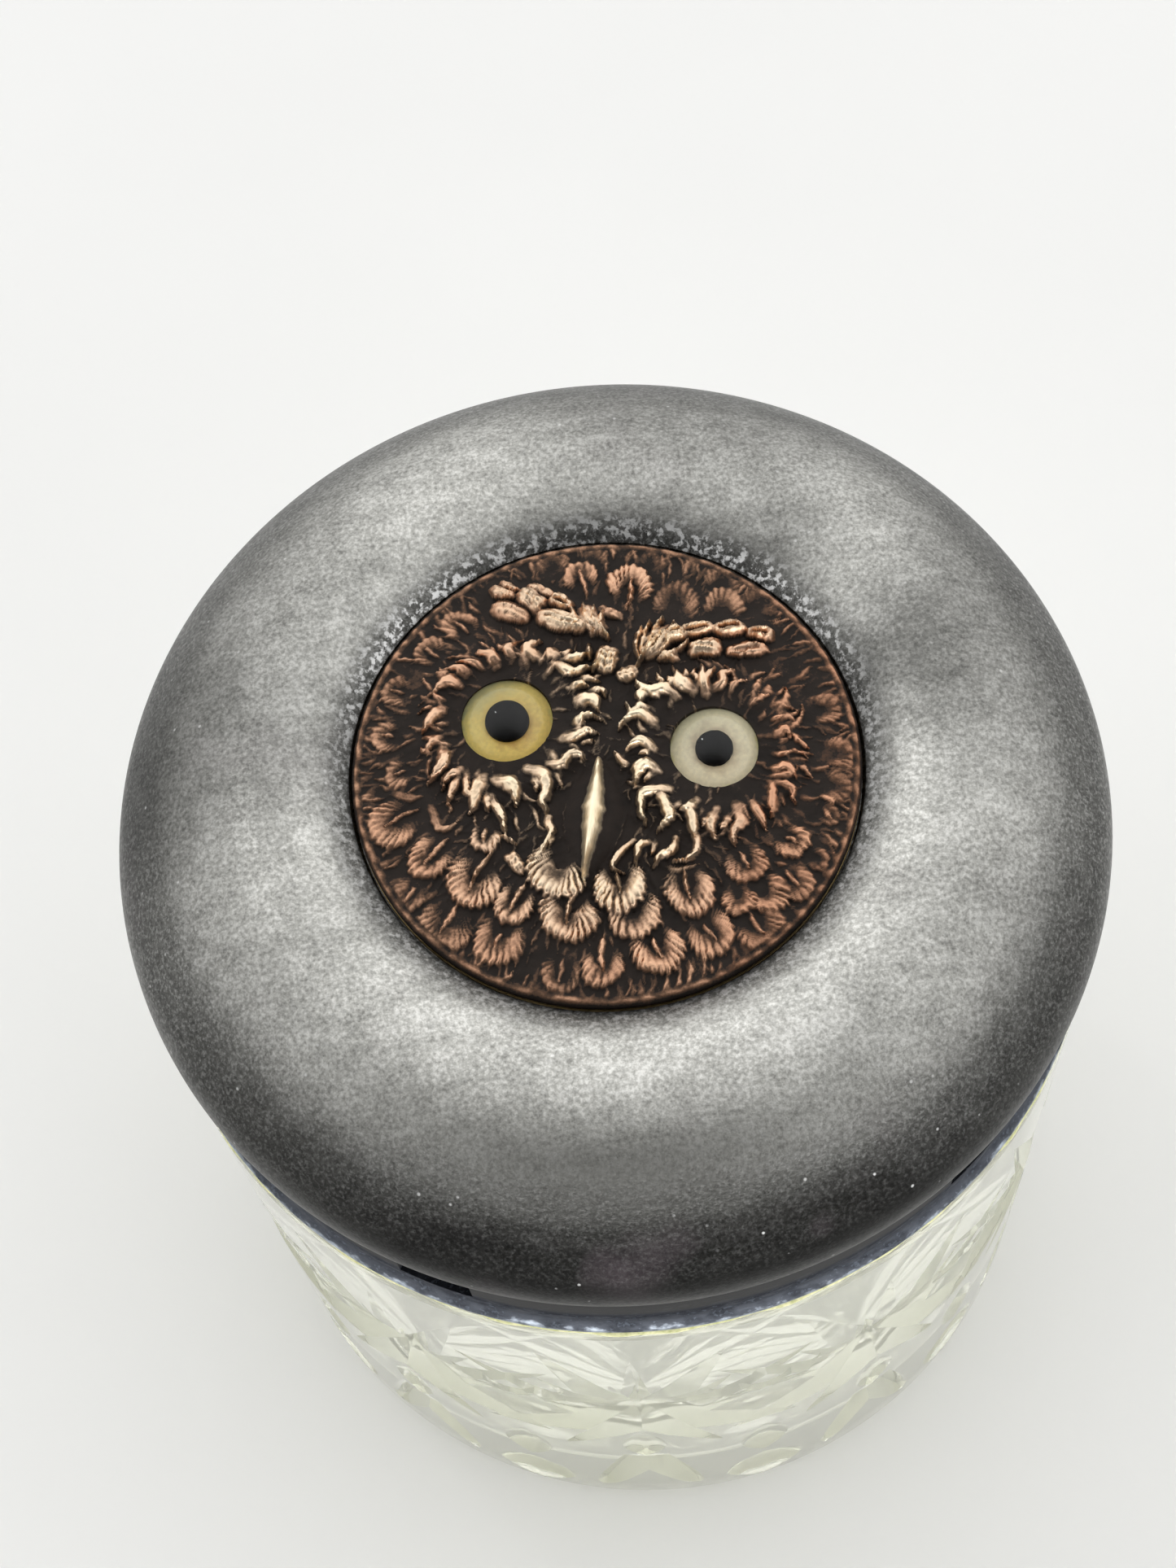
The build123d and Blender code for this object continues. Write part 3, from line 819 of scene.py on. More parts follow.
def soft(value, low, high):
    """A smooth step from 0 at `low` to 1 at `high`."""
    t = np.clip((value - low) / (high - low), 0, 1)
    return t * t * (3 - 2 * t)


def polar(centre, distance, angle):
    """A point at a distance and an angle in degrees from a centre."""
    return (centre[0] + distance * cos(radians(angle)), centre[1] + distance * sin(radians(angle)))


def uneven(x, y, size, seed, waves=9):
    """A smooth random value from about -1 to 1, with features about `size` millimetres across."""
    random = np.random.default_rng(seed)
    total = 0 * x
    for _ in range(waves):
        a = random.uniform(0, 2 * pi)
        turns = random.uniform(0.7, 1.4) * pi / size
        total = total + np.sin(turns * (x * cos(a) + y * sin(a)) + random.uniform(0, 2 * pi))
    return total / sqrt(waves)


def smooth_line(points, pieces=8):
    """A smooth curve through two or more points."""
    points = np.asarray(points, float)
    ends = np.vstack([2 * points[0] - points[1], points, 2 * points[-1] - points[-2]])
    line = [points[0]]
    for a, b, c, d in zip(ends, ends[1:], ends[2:], ends[3:]):
        for t in np.linspace(0, 1, pieces + 1)[1:]:
            line.append(0.5 * (2 * b + (c - a) * t + (2 * a - 5 * b + 4 * c - d) * t ** 2
                               + (3 * b - a - 3 * c + d) * t ** 3))
    return np.array(line)


class Relief:
    """A height over the disc of the medallion, in millimetres, in the owl's upright frame."""

    def __init__(self, x, y):
        self.x, self.y = x, y
        self.r = np.hypot(x, y)
        self.ground = RIM_TOP + (DOME - RIM_TOP) * (1 - np.clip(self.r / (FACE_R - RIM_W), 0, 1) ** 2)
        self.h = self.ground.copy()

    def near(self, low, high, margin):
        """The points within a box round some corners."""
        return ((self.x > low[0] - margin) & (self.x < high[0] + margin)
                & (self.y > low[1] - margin) & (self.y < high[1] + margin))

    def swell(self, centre, ring, width, lift):
        """Raise a soft ring, or a mound where `ring` is 0."""
        away = np.hypot(self.x - centre[0], self.y - centre[1])
        self.ground += lift * np.exp(-((away - ring) / width) ** 2)
        self.h = np.maximum(self.h, self.ground)

    def to_line(self, here, line):
        """Distance from a line at each point, the side it lies on, and how far along it is."""
        x, y = self.x[here], self.y[here]
        best = np.full(x.shape, 9.0)
        side, along = np.ones(x.shape), np.zeros(x.shape)
        for i in range(len(line) - 1):
            a, d = line[i], line[i + 1] - line[i]
            t = np.clip(((x - a[0]) * d[0] + (y - a[1]) * d[1]) / (d @ d), 0, 1)
            away = np.hypot(x - a[0] - t * d[0], y - a[1] - t * d[1])
            closer = away < best
            best[closer] = away[closer]
            along[closer] = ((i + t) / (len(line) - 1))[closer]
            side[closer] = np.sign(d[0] * (y - a[1]) - d[1] * (x - a[0]))[closer]
        return best, side, along

    def bank(self, points, width, lift):
        """Raise the ground softly along a line."""
        line = smooth_line(points)
        here = self.near(line.min(0), line.max(0), 2.5 * width)
        away = self.to_line(here, line)[0]
        self.ground[here] += lift * np.exp(-(away / width) ** 2)
        self.h[here] = np.maximum(self.h[here], self.ground[here])

    def lock(self, points, width, lift, shape=(0.85, 1.0, 0.78, 0.12), rise=(0.40, 0.95, 1.0, 0.7),
             hairs=2):
        """A lock of hair-like feather along a curve, with shallow grooves between its `hairs`."""
        line = smooth_line(points)
        here = self.near(line.min(0), line.max(0), width)
        away, side, along = self.to_line(here, line)
        marks = (0, 0.3, 0.65, 1)
        across = side * away / (np.interp(along, marks, shape) * width / 2)
        crown = np.clip(1 - np.abs(across) ** 1.35, 0, 1)
        groove = (0.5 + 0.5 * np.cos(pi * hairs * (across + 1))) ** 2 * (1 - soft(along, 0.6, 0.95))
        tall = lift * np.interp(along, marks, rise) * crown * (1 - 0.26 * groove)
        self.h[here] = np.maximum(self.h[here], self.ground[here] + tall)

    def lump(self, centre, aim, length, width, lift, slit=0.0, bars=0, square=2.6):
        """A rounded oblong, with a slit along it or bars across it."""
        here = self.near(centre, centre, length)
        u, v = self.turned(here, centre, aim)
        shape = np.clip(1 - np.abs(u / (length / 2)) ** square - np.abs(v / (width / 2)) ** square, 0, 1)
        tall = lift * shape ** 0.62
        lines = 0.5 + 0.5 * np.cos(2 * pi * v / 0.40 + 1.3 * np.sin(u * 1.7 + centre[0]))
        tall = tall * (1 - 0.20 * lines ** 2)
        if slit:
            groove = np.exp(-(v / (0.15 * width)) ** 2) * soft(length * 0.36 - np.abs(u), 0, 0.4)
            tall = tall * (1 - slit * groove)
        if bars:
            wave = np.cos(bars * 2 * pi * (u - 0.45 * np.abs(v)) / length)
            tall = tall * (1 - 0.24 * (0.5 + 0.5 * wave) ** 2)
        inside = shape > 0
        spot = self.h[here]
        spot[inside] = np.maximum(spot, self.ground[here] + tall)[inside]
        self.h[here] = spot

    def turned(self, here, centre, aim):
        """Coordinates along and across a direction, from a centre."""
        x, y = self.x[here] - centre[0], self.y[here] - centre[1]
        c, s = cos(radians(aim)), sin(radians(aim))
        return x * c + y * s, y * c - x * s

    def feather(self, centre, radius, aim, lift, quill):
        """A feather's tip: a horseshoe of barbs round a hollow, with a quill that runs into it."""
        here = self.near(centre, centre, radius * 1.7)
        u, v = self.turned(here, centre, aim)
        u, v = u / radius, v / radius
        angle = np.arctan2(v, u)
        fan = np.arctan2(v, u + 0.9)
        phase = 21 * radius * fan + 1.4 * np.sin(3.7 * fan + centre[0]) + centre[1]
        away = np.hypot(u, v) / (1 + 0.03 * np.cos(phase) + 0.06 * np.sin(2 * angle + centre[0]))
        pit = np.hypot((u + 0.60) / 0.80, v / 0.38)
        body = 0.60 + 0.40 * soft(pit, 0.30, 1.25)
        arms = 1 - 0.80 * soft(np.abs(angle), 1.5, 2.9)
        cut = (0.5 - 0.5 * np.cos(phase)) ** 2 * (0.70 + 0.30 * np.sin(5 * fan + centre[0]))
        crown = 0.74 + 0.26 * np.cos(pi * (away - 0.70) / 0.6)
        tall = lift * body * arms * crown * (1 - 0.34 * cut * soft(away, 0.15, 0.5))
        inside = 1 - soft(away, 0.86, 1.06)
        deep = self.ground[here] - 0.05
        self.h[here] = self.h[here] * (1 - inside) + (deep + tall) * inside
        if quill:
            self.lock((polar(centre, -quill, aim), polar(centre, -quill * 0.4, aim + 9),
                       polar(centre, radius * 0.32, aim - 4)), 0.52, lift * 1.15,
                      shape=(0.35, 0.9, 1, 0.4), rise=(0.6, 1, 1, 0.9), hairs=0)


# Feathers of the ruff, outermost first: centre, radius, direction, lift, length of the quill.
RUFF = (
    ((-0.35, -15.4), 1.4, -90, 0.26, 1.0), ((-11.3, -11.4), 1.3, -120, 0.26, 0.5),
    ((-8.5, -13.3), 1.95, -110, 0.32, 1.7), ((-4.8, -13.7), 1.85, -100, 0.42, 0.5),
    ((2.3, -14.5), 1.5, -82, 0.42, 2.2), ((12.1, -10.4), 1.7, -45, 0.32, 1.4),
    ((8.85, -11.2), 1.75, -50, 0.45, 0.7), ((5.7, -12.9), 1.8, -60, 0.6, 0.9),
    ((13.85, -6.8), 1.4, -40, 0.36, 0.9), ((13.3, -4.0), 1.3, -30, 0.42, 0.5),
    ((15.0, -4.9), 0.9, -20, 0.24, 0.0), ((12.1, -8.0), 1.5, -40, 0.45, 0.0),
    ((10.35, -8.7), 1.2, -75, 0.45, 0.0), ((10.5, -6.1), 1.5, -55, 0.42, 1.0),
    ((7.1, -8.6), 1.85, -66, 0.58, 1.3), ((15.4, -1.6), 0.9, -10, 0.24, 0.0),
    ((15.6, 0.5), 1.2, 0, 0.26, 0.0), ((15.5, 3.0), 1.3, 12, 0.28, 0.0),
    ((14.1, 6.1), 1.3, 22, 0.26, 0.0), ((8.6, 13.7), 1.3, 60, 0.2, 0.0),
    ((5.8, 15.2), 1.4, 70, 0.22, 0.0), ((6.2, 13.1), 1.5, 84, 0.28, 0.0),
    ((2.8, 12.9), 1.7, 95, 0.22, 0.0), ((0.5, 15.9), 1.0, 90, 0.16, 0.0),
    ((-3.4, 15.7), 1.0, 100, 0.18, 0.0), ((-6.3, 14.7), 1.2, 110, 0.2, 0.0),
    ((-4.1, 13.9), 1.35, 115, 0.38, 1.9), ((-0.55, 13.8), 1.65, 92, 0.6, 2.1),
    ((-11.9, 9.0), 1.3, 140, 0.34, 0.8), ((-13.5, 6.7), 1.2, 150, 0.3, 0.7),
    ((-15.2, 3.3), 1.2, 172, 0.26, 0.4), ((-15.2, -0.2), 1.2, 182, 0.3, 0.5),
    ((-13.8, -2.9), 1.1, -150, 0.3, 0.6), ((-14.6, -9.0), 1.0, -140, 0.2, 0.0),
    ((-13.5, -6.6), 1.75, -140, 0.42, 2.1), ((-10.4, -8.7), 1.6, -122, 0.46, 1.8),
    ((-7.2, -10.1), 1.9, -110, 0.6, 2.8), ((-4.2, -11.2), 1.5, -105, 0.56, 1.6),
    ((-7.0, -6.9), 1.1, -92, 0.5, 0.7), ((3.75, -10.7), 1.85, -62, 0.56, 0.0),
    ((-0.55, -11.4), 2.05, -95, 0.7, 1.7),
)
CHIN = (
    ((-1.75, -8.5), 2.15, -100, 0.78, 0.0), ((2.5, -9.0), 1.9, -72, 0.82, 0.9),
)

# Locks of feather: a line from the root to the tip, then width and height.
LOCK_WIDTH = 1.45         # the locks widen by this towards their feet
LEFT_LOCKS = (
    (((-7.6, 6.7), (-7.95, 7.3), (-7.55, 7.9)), 0.6, 0.8),
    (((-5.6, 7.0), (-6.6, 7.2), (-6.6, 7.7), (-5.85, 8.2)), 1.05, 0.95),
    (((-4.4, 7.0), (-5.0, 7.4), (-5.4, 7.7)), 0.95, 0.7),
    (((-4.2, 7.2), (-3.9, 7.6), (-3.5, 7.9)), 0.5, 0.7),
    (((-4.1, 6.9), (-3.3, 7.15), (-2.4, 7.5)), 0.75, 1.1),
    (((-4.7, 6.5), (-3.9, 6.2), (-3.1, 6.0), (-2.6, 6.45), (-1.9, 6.55)), 0.75, 1.1),
    (((-2.9, 5.4), (-2.1, 5.7), (-1.2, 5.7)), 0.65, 0.7),
    (((-3.2, 4.7), (-2.6, 5.1), (-1.8, 5.1)), 0.65, 1.0),
    (((-1.9, 4.6), (-1.1, 5.0), (-0.7, 4.3)), 0.65, 0.8),
    (((-2.6, 3.8), (-1.6, 4.0), (-0.95, 3.25)), 1.0, 1.0),
    (((-2.1, 1.3), (-2.2, 2.2), (-1.6, 2.8), (-0.6, 2.6)), 0.55, 1.0),
    (((-3.1, 1.0), (-2.2, 1.0), (-1.5, 1.5), (-0.6, 1.5)), 0.8, 0.9),
    (((-1.7, 0.5), (-1.3, 0.75), (-0.8, 1.0)), 0.3, 0.6),
    (((-3.7, -1.1), (-2.8, -1.1), (-2.3, -0.3), (-1.5, -0.2), (-1.4, -0.6)), 0.75, 0.9),
    (((-5.0, -1.6), (-3.9, -2.0), (-3.4, -3.0), (-3.6, -3.9), (-3.1, -4.9)), 0.95, 1.0),
    (((-4.5, -2.2), (-4.2, -2.7), (-4.1, -3.2)), 0.6, 0.7),
    (((-7.0, -2.7), (-6.0, -2.9), (-5.5, -3.5), (-5.3, -4.4)), 1.15, 1.05),
    (((-7.9, -2.7), (-8.1, -3.8), (-8.4, -5.4)), 0.95, 1.0),
    (((-9.1, -2.7), (-8.8, -3.6), (-8.4, -4.2)), 0.7, 0.85),
    (((-9.5, -2.3), (-10.2, -2.8), (-10.5, -3.9)), 0.6, 0.8),
    (((-9.6, -2.9), (-9.8, -3.8), (-10.0, -4.9)), 0.55, 0.85),
    (((-9.8, -4.7), (-9.75, -5.1), (-9.85, -5.6)), 0.24, 0.5),
    (((-11.0, -0.9), (-10.8, -1.9), (-11.6, -3.5)), 0.85, 0.9),
    (((-11.3, 0.0), (-11.9, -0.6), (-12.1, -1.5)), 0.6, 0.7),
    (((-11.8, -1.3), (-12.2, -1.2), (-12.6, -0.8)), 0.4, 0.6),
    (((-11.6, 2.1), (-12.2, 1.5), (-12.8, 0.2)), 0.8, 0.8),
    (((-12.4, 2.1), (-12.9, 2.1), (-13.4, 1.6)), 0.24, 0.5),
    (((-10.8, 4.2), (-11.8, 4.3), (-12.7, 3.1)), 0.75, 0.75),
    (((-12.6, 3.4), (-12.9, 3.2), (-13.2, 3.0)), 0.3, 0.4),
    (((-10.6, 5.0), (-11.2, 5.3), (-11.8, 5.2)), 0.85, 0.7),
    (((-11.7, 5.0), (-12.2, 4.8), (-12.8, 4.9)), 0.45, 0.5),
    (((-9.6, 5.7), (-10.4, 6.0), (-11.6, 6.0)), 0.65, 0.7),
    (((-8.7, 6.0), (-9.1, 6.6), (-10.1, 6.8)), 0.9, 0.75),
    (((-8.8, 6.5), (-9.0, 6.9), (-9.3, 7.3)), 0.5, 0.6),
    (((-8.3, 7.2), (-8.5, 7.4), (-8.9, 7.7)), 0.5, 0.5),
)
# wisps between the left eye and the chin
LEFT_WISPS = (
    (((-7.6, -3.8), (-7.3, -4.4), (-7.0, -5.0)), 0.65, 0.8),
    (((-7.1, -4.0), (-6.4, -4.8), (-5.95, -5.8), (-5.5, -6.5)), 0.65, 1.0),
    (((-6.0, -6.6), (-5.4, -6.8), (-4.7, -7.2)), 0.34, 0.8),
    (((-4.6, -3.9), (-3.6, -5.2), (-2.7, -6.1)), 0.3, 0.35),
    (((-5.3, -4.9), (-5.0, -5.6), (-4.5, -6.2)), 0.25, 0.3),
    (((-8.2, -5.2), (-7.9, -5.8), (-7.5, -6.4)), 0.22, 0.3),
    (((-3.0, -5.0), (-2.6, -5.9), (-3.0, -7.1), (-3.7, -8.4)), 0.5, 0.9),
    (((-2.3, -6.2), (-2.5, -6.7), (-2.6, -7.2)), 0.3, 0.6),
    (((-11.1, -5.1), (-10.3, -6.3), (-9.5, -6.3), (-8.9, -5.8)), 0.55, 0.36),
    (((-14.0, -4.1), (-13.0, -4.6), (-11.7, -4.3)), 0.6, 0.22),
)
RIGHT_LOCKS = (
    (((3.2, 6.0), (2.75, 6.3), (2.45, 6.8)), 0.45, 0.9),
    (((5.0, 5.9), (4.2, 6.3), (3.7, 7.2)), 1.25, 1.05), (((4.0, 6.0), (3.6, 6.3), (3.2, 6.6)), 0.8, 0.9),
    (((4.7, 6.7), (4.5, 7.0), (4.3, 7.4)), 0.5, 0.8), (((4.9, 6.8), (4.95, 7.2), (5.0, 7.6)), 0.35, 0.7),
    (((6.1, 5.8), (5.7, 6.7), (5.4, 7.8)), 0.9, 1.0), (((5.7, 6.6), (6.0, 7.2), (6.4, 7.8)), 0.5, 0.85),
    (((5.6, 6.6), (5.2, 6.8), (5.0, 7.2)), 0.5, 0.8),
    (((6.4, 6.2), (7.0, 6.7), (6.9, 7.4), (7.7, 7.8)), 0.8, 0.9),
    (((4.1, 5.1), (3.3, 5.6), (2.3, 5.2), (1.6, 5.6), (1.15, 6.1)), 0.85, 1.15),
    (((2.2, 5.3), (1.7, 4.8), (1.75, 4.1)), 0.75, 1.05),
    (((2.2, 3.9), (1.7, 4.0), (1.2, 3.5), (0.75, 4.3)), 0.65, 1.05),
    (((2.8, 3.1), (1.9, 3.3), (1.3, 3.0), (0.65, 2.05)), 0.95, 1.15),
    (((3.2, 1.0), (2.2, 1.35), (1.4, 0.4)), 0.85, 1.0), (((2.9, 0.8), (2.6, 0.6), (2.3, 0.4)), 0.5, 0.6),
    (((1.9, -0.5), (1.2, -0.2), (0.6, 0.3)), 0.6, 0.6),
    (((3.6, -0.4), (2.7, -0.4), (2.4, -1.0), (2.35, -2.0)), 1.0, 1.05),
    (((3.4, -0.9), (3.1, -1.2), (3.0, -1.5)), 0.5, 0.6),
    (((4.7, -1.8), (3.6, -2.05), (2.95, -2.5), (2.95, -3.4), (3.5, -4.5)), 0.75, 1.1),
    (((3.7, -2.0), (4.6, -2.9), (4.95, -3.7), (4.4, -4.9)), 0.8, 1.15),
    (((6.6, -2.3), (6.1, -3.0), (5.5, -3.2)), 0.75, 1.0),
    (((5.8, -3.0), (6.3, -3.4), (6.7, -4.1), (6.9, -5.0)), 0.8, 1.05),
    (((6.8, -4.4), (7.1, -5.6), (6.7, -6.2), (5.6, -6.8)), 0.48, 0.95),
    (((8.0, -2.9), (7.8, -3.8), (8.3, -4.9)), 0.9, 0.9),
    (((7.5, -3.3), (7.3, -3.8), (7.2, -4.2)), 0.5, 0.7),
    (((8.9, -3.0), (8.7, -3.6), (8.5, -4.1)), 0.6, 0.7),
    (((9.4, -2.4), (9.7, -3.3), (9.3, -4.0), (9.6, -5.0)), 0.95, 0.85),
    (((10.1, -2.9), (10.1, -3.4), (9.8, -3.9)), 0.4, 0.6),
    (((10.4, -1.8), (10.8, -2.5), (11.4, -3.6)), 0.75, 0.7),
    (((11.2, -0.2), (11.6, -1.2), (11.6, -2.7)), 0.65, 0.7),
    (((11.5, -0.1), (12.6, -0.35), (13.2, -1.3)), 0.6, 0.6),
    (((11.5, 0.9), (12.3, 1.2), (12.9, 0.5)), 0.65, 0.6),
    (((12.9, 1.4), (13.5, 1.3), (14.0, 0.9)), 0.35, 0.45),
    (((12.3, 2.5), (12.8, 2.4), (13.4, 2.1)), 0.3, 0.4),
    (((11.2, 3.4), (11.8, 3.9), (12.2, 3.3)), 0.6, 0.6),
    (((12.2, 3.8), (12.9, 3.2), (13.5, 2.8)), 0.4, 0.5),
    (((10.7, 4.6), (11.1, 4.8), (11.6, 5.0)), 0.45, 0.5),
    (((11.5, 5.2), (11.9, 4.9), (12.3, 4.6)), 0.3, 0.4),
    (((10.8, 5.7), (11.3, 5.8), (11.9, 5.5)), 0.35, 0.4),
    (((9.0, 5.4), (9.3, 5.9), (9.1, 6.5)), 0.6, 0.2),
    (((14.8, -0.4), (15.2, -0.6), (15.7, -0.9)), 0.42, 0.4),
    (((15.2, -1.3), (15.4, -1.7), (15.7, -2.1)), 0.4, 0.35),
)
# wisps between the right eye and the chin
RIGHT_WISPS = (
    (((2.9, -5.8), (2.1, -6.8), (1.8, -7.5), (2.0, -7.9), (2.8, -8.2)), 0.5, 0.9),
    (((4.0, -5.7), (3.3, -6.2), (3.3, -7.6)), 0.5, 1.0),
    (((4.4, -5.5), (4.3, -6.0), (4.15, -6.6)), 0.5, 0.45),
    (((5.6, -5.1), (5.5, -6.0), (4.7, -6.6), (4.5, -7.5)), 0.62, 1.0),
    (((5.0, -7.0), (6.0, -7.4), (6.6, -7.0), (7.4, -6.6)), 0.55, 0.3),
    (((2.1, -3.6), (1.9, -5.4), (1.1, -8.0)), 0.2, 0.14),
    (((-2.1, -3.6), (-1.9, -5.2), (-1.2, -7.4)), 0.2, 0.14),
)

# Brows: centre, direction, length, width, height, slit, bars.
BROWS = (
    ((-8.4, 10.6), -12, 3.1, 1.5, 0.8, 0.0, 0), ((-9.3, 12.0), -12, 2.2, 1.1, 0.9, 0.0, 0),
    ((-8.9, 12.6), -18, 1.9, 0.5, 0.8, 0.0, 0), ((-4.7, 10.25), -8, 3.9, 1.6, 1.1, 0.0, 0),
    ((-6.6, 12.55), -20, 2.4, 0.9, 0.9, 0.0, 2), ((-7.1, 11.6), -25, 2.8, 1.7, 1.2, 0.0, 2),
    ((-5.0, 11.7), -18, 2.2, 1.3, 1.2, 0.7, 0), ((-2.7, 10.7), -50, 2.8, 1.7, 0.75, 0.0, 0),
    ((-1.5, 11.6), -15, 2.1, 1.0, 0.5, 0.0, 3), ((8.3, 10.4), 14, 3.1, 1.1, 0.8, 0.3, 0),
    ((5.4, 9.85), 14, 2.7, 1.5, 1.0, 0.0, 0), ((3.0, 8.7), 10, 1.7, 1.0, 0.9, 0.0, 3),
    ((4.7, 11.1), 20, 2.9, 1.15, 1.2, 0.5, 0), ((6.85, 11.65), 22, 2.6, 1.35, 1.25, 0.75, 0),
    ((8.95, 11.75), 8, 2.2, 1.2, 1.1, 0.6, 0), ((2.25, 9.85), 52, 3.8, 2.0, 0.8, 0.0, 0),
    ((3.3, 10.1), 24, 1.7, 0.8, 1.25, 0.0, 0), ((3.1, 10.75), 24, 1.5, 0.6, 1.2, 0.0, 0),
    ((-1.15, 7.8), 84, 2.5, 1.9, 0.9, 0.0, 4), ((0.45, 6.9), 40, 1.7, 1.2, 0.7, 0.0, 4),
)
BROW_FANS = (
    (((-1.7, 9.6), (-2.0, 10.6), (-1.9, 11.5)), 0.62, 1.1),
    (((-1.9, 9.7), (-2.5, 10.7), (-2.7, 11.7)), 0.62, 1.15),
    (((-2.1, 9.8), (-3.1, 10.7), (-3.5, 11.6)), 0.62, 1.15),
    (((-2.3, 9.7), (-3.6, 10.4), (-4.1, 11.1)), 0.58, 1.1),
    (((1.1, 8.2), (0.7, 9.4), (0.9, 10.6)), 0.6, 1.05),
    (((1.3, 8.4), (1.1, 9.9), (1.5, 11.2)), 0.62, 1.15),
    (((1.5, 8.6), (1.7, 10.1), (2.2, 11.6)), 0.62, 1.2),
    (((1.8, 8.7), (2.4, 10.0), (3.0, 11.5)), 0.62, 1.2),
    (((2.1, 8.6), (3.0, 9.6), (3.8, 10.9)), 0.62, 1.15),
    (((2.4, 8.4), (3.4, 9.1), (4.2, 10.1)), 0.6, 1.05),
)
QUILLS = (
    (((0.9, 7.4), (1.6, 9.0), (2.4, 10.4)), 0.46, 1.5),
    (((-2.7, 11.0), (-2.2, 10.2), (-1.3, 9.4)), 0.4, 1.3),
    (((-2.5, 8.9), (-2.4, 8.2), (-2.3, 7.7)), 0.5, 1.0),
    (((-1.4, 8.6), (-1.6, 7.6), (-1.9, 6.7)), 0.38, 1.25),
)


def brow_drop(x):
    """The brows sit a little lower towards the right."""
    return np.interp(x, (-9, 0, 9), (0.30, 0.40, 0.75))


def brows(relief):
    """Two thick brows, each of two rows of small feathers, and the crest between them."""
    relief.bank(((-9.6, 11.6), (-6.5, 11.3), (-2.6, 10.3)), 1.1, 0.30)
    relief.bank(((1.8, 9.0), (4.5, 10.3), (9.0, 11.3)), 1.0, 0.30)
    for centre, aim, length, width, lift, slit, bars in BROWS:
        relief.lump((centre[0], centre[1] - brow_drop(centre[0])), aim, length, width, lift, slit, bars)
    for points, width, lift in BROW_FANS + QUILLS:
        points = [(x, y - brow_drop(x)) for x, y in points]
        relief.lock(points, width, lift, shape=(0.6, 1, 1, 0.5), rise=(0.8, 1, 1, 0.9), hairs=0)


def beak(relief, x, y):
    """A broad dark wedge with a narrow bright crest, from between the eyes to the chin."""
    top, tip = 0.0, -9.5
    t = np.clip((top - y) / (top - tip), 0, 1)
    middle = -0.32 + 0.42 * t + 0.10 * np.sin(pi * t)
    away = np.abs(x - middle)
    inside = (y < top) & (y > tip)
    widest = np.sin(pi * t ** 0.85)
    wedge = 0.70 * np.clip(1 - away / (2.0 * widest + 0.05), 0, 1) * soft(widest, 0, 0.4)
    narrow = np.interp(t, (0, 0.2, 0.42, 0.6, 0.8, 1), (0.12, 0.50, 0.86, 0.70, 0.36, 0.12))
    edge = narrow * (1 + 0.05 * np.sin(y * 4.3) + 0.03 * np.sin(y * 9.1 + 1))
    crest = 0.95 * np.clip(1 - (away / edge) ** 1.6, 0, 1) ** 0.7 * soft(np.minimum(t, 1 - t), 0, 0.08)
    relief.ground = relief.ground + wedge * inside
    relief.h = np.maximum(relief.h, relief.ground + crest * inside)
    return crest * inside


DOWN_COUNT = 900          # barbs over the whole face
RING_COUNT = 70           # short locks round each eye


def down(relief):
    """Small barbs that cover the ground, combed away from the eyes and from the face."""
    random = np.random.default_rng(23)
    for _ in range(DOWN_COUNT):
        root = np.array(polar((0, 0), 16.4 * sqrt(random.uniform(0.0, 1)), random.uniform(0, 360)))
        away = root - (np.copysign(EYE_X, root[0]), EYE_Y)
        if np.hypot(*away) > 6.0:
            away = root - (0, 3.0)
        aim = degrees(atan2(away[1], away[0])) + random.uniform(-30, 30)
        length, bend = random.uniform(0.5, 1.0), random.uniform(-30, 30)
        middle = polar(root, length, aim)
        tip = polar(middle, length, aim + bend)
        relief.lock((root, middle, tip), random.uniform(0.34, 0.62), random.uniform(0.07, 0.24), hairs=0)


def eye_rings(relief):
    """Two uneven rows of short locks round each eye, which show between the larger ones."""
    random = np.random.default_rng(29)
    for side in (-1, 1):
        eye = (side * EYE_X, EYE_Y)
        for k in range(RING_COUNT):
            angle = k * 360 / RING_COUNT + random.uniform(-3, 3)
            start = random.uniform(3.9, 5.8)
            length, curl = random.uniform(0.9, 1.7), random.uniform(-16, 16)
            points = (polar(eye, start, angle), polar(eye, start + length * 0.5, angle + curl * 0.3),
                      polar(eye, start + length, angle + curl))
            relief.lock(points, random.uniform(0.5, 0.95), random.uniform(0.16, 0.55), hairs=0)


def rim_marks(relief):
    """Short feather strokes that run off under the rim."""
    random = np.random.default_rng(17)
    for start, stop, step in ((40, 132, 2.1), (-178, -140, 4.2), (-128, -84, 2.6), (-80, -20, 2.8),
                              (-14, 40, 3.0), (140, 180, 6.0)):
        for angle in np.arange(start, stop, step):
            a = angle + random.uniform(-1.0, 1.0)
            inner = random.uniform(14.6, 16.2)
            lean = random.uniform(-3, 3)
            relief.lock((polar((0, 0), inner, a), polar((0, 0), (inner + 17.0) / 2, a + lean * 0.3),
                         polar((0, 0), 17.0, a + lean)), random.uniform(0.28, 0.55),
                        random.uniform(0.12, 0.30), shape=(0.3, 0.9, 1, 0.8), rise=(0.5, 1, 1, 1), hairs=0)


def blur(grid, radius):
    """A soft average over a square grid."""
    reach = int(3 * radius)
    kernel = np.exp(-(np.arange(-reach, reach + 1) / radius) ** 2)
    kernel /= kernel.sum()
    for axis in (0, 1):
        padded = np.pad(grid, [(reach, reach) if a == axis else (0, 0) for a in (0, 1)], mode="edge")
        grid = np.apply_along_axis(lambda row: np.convolve(row, kernel, "valid"), axis, padded)
    return grid


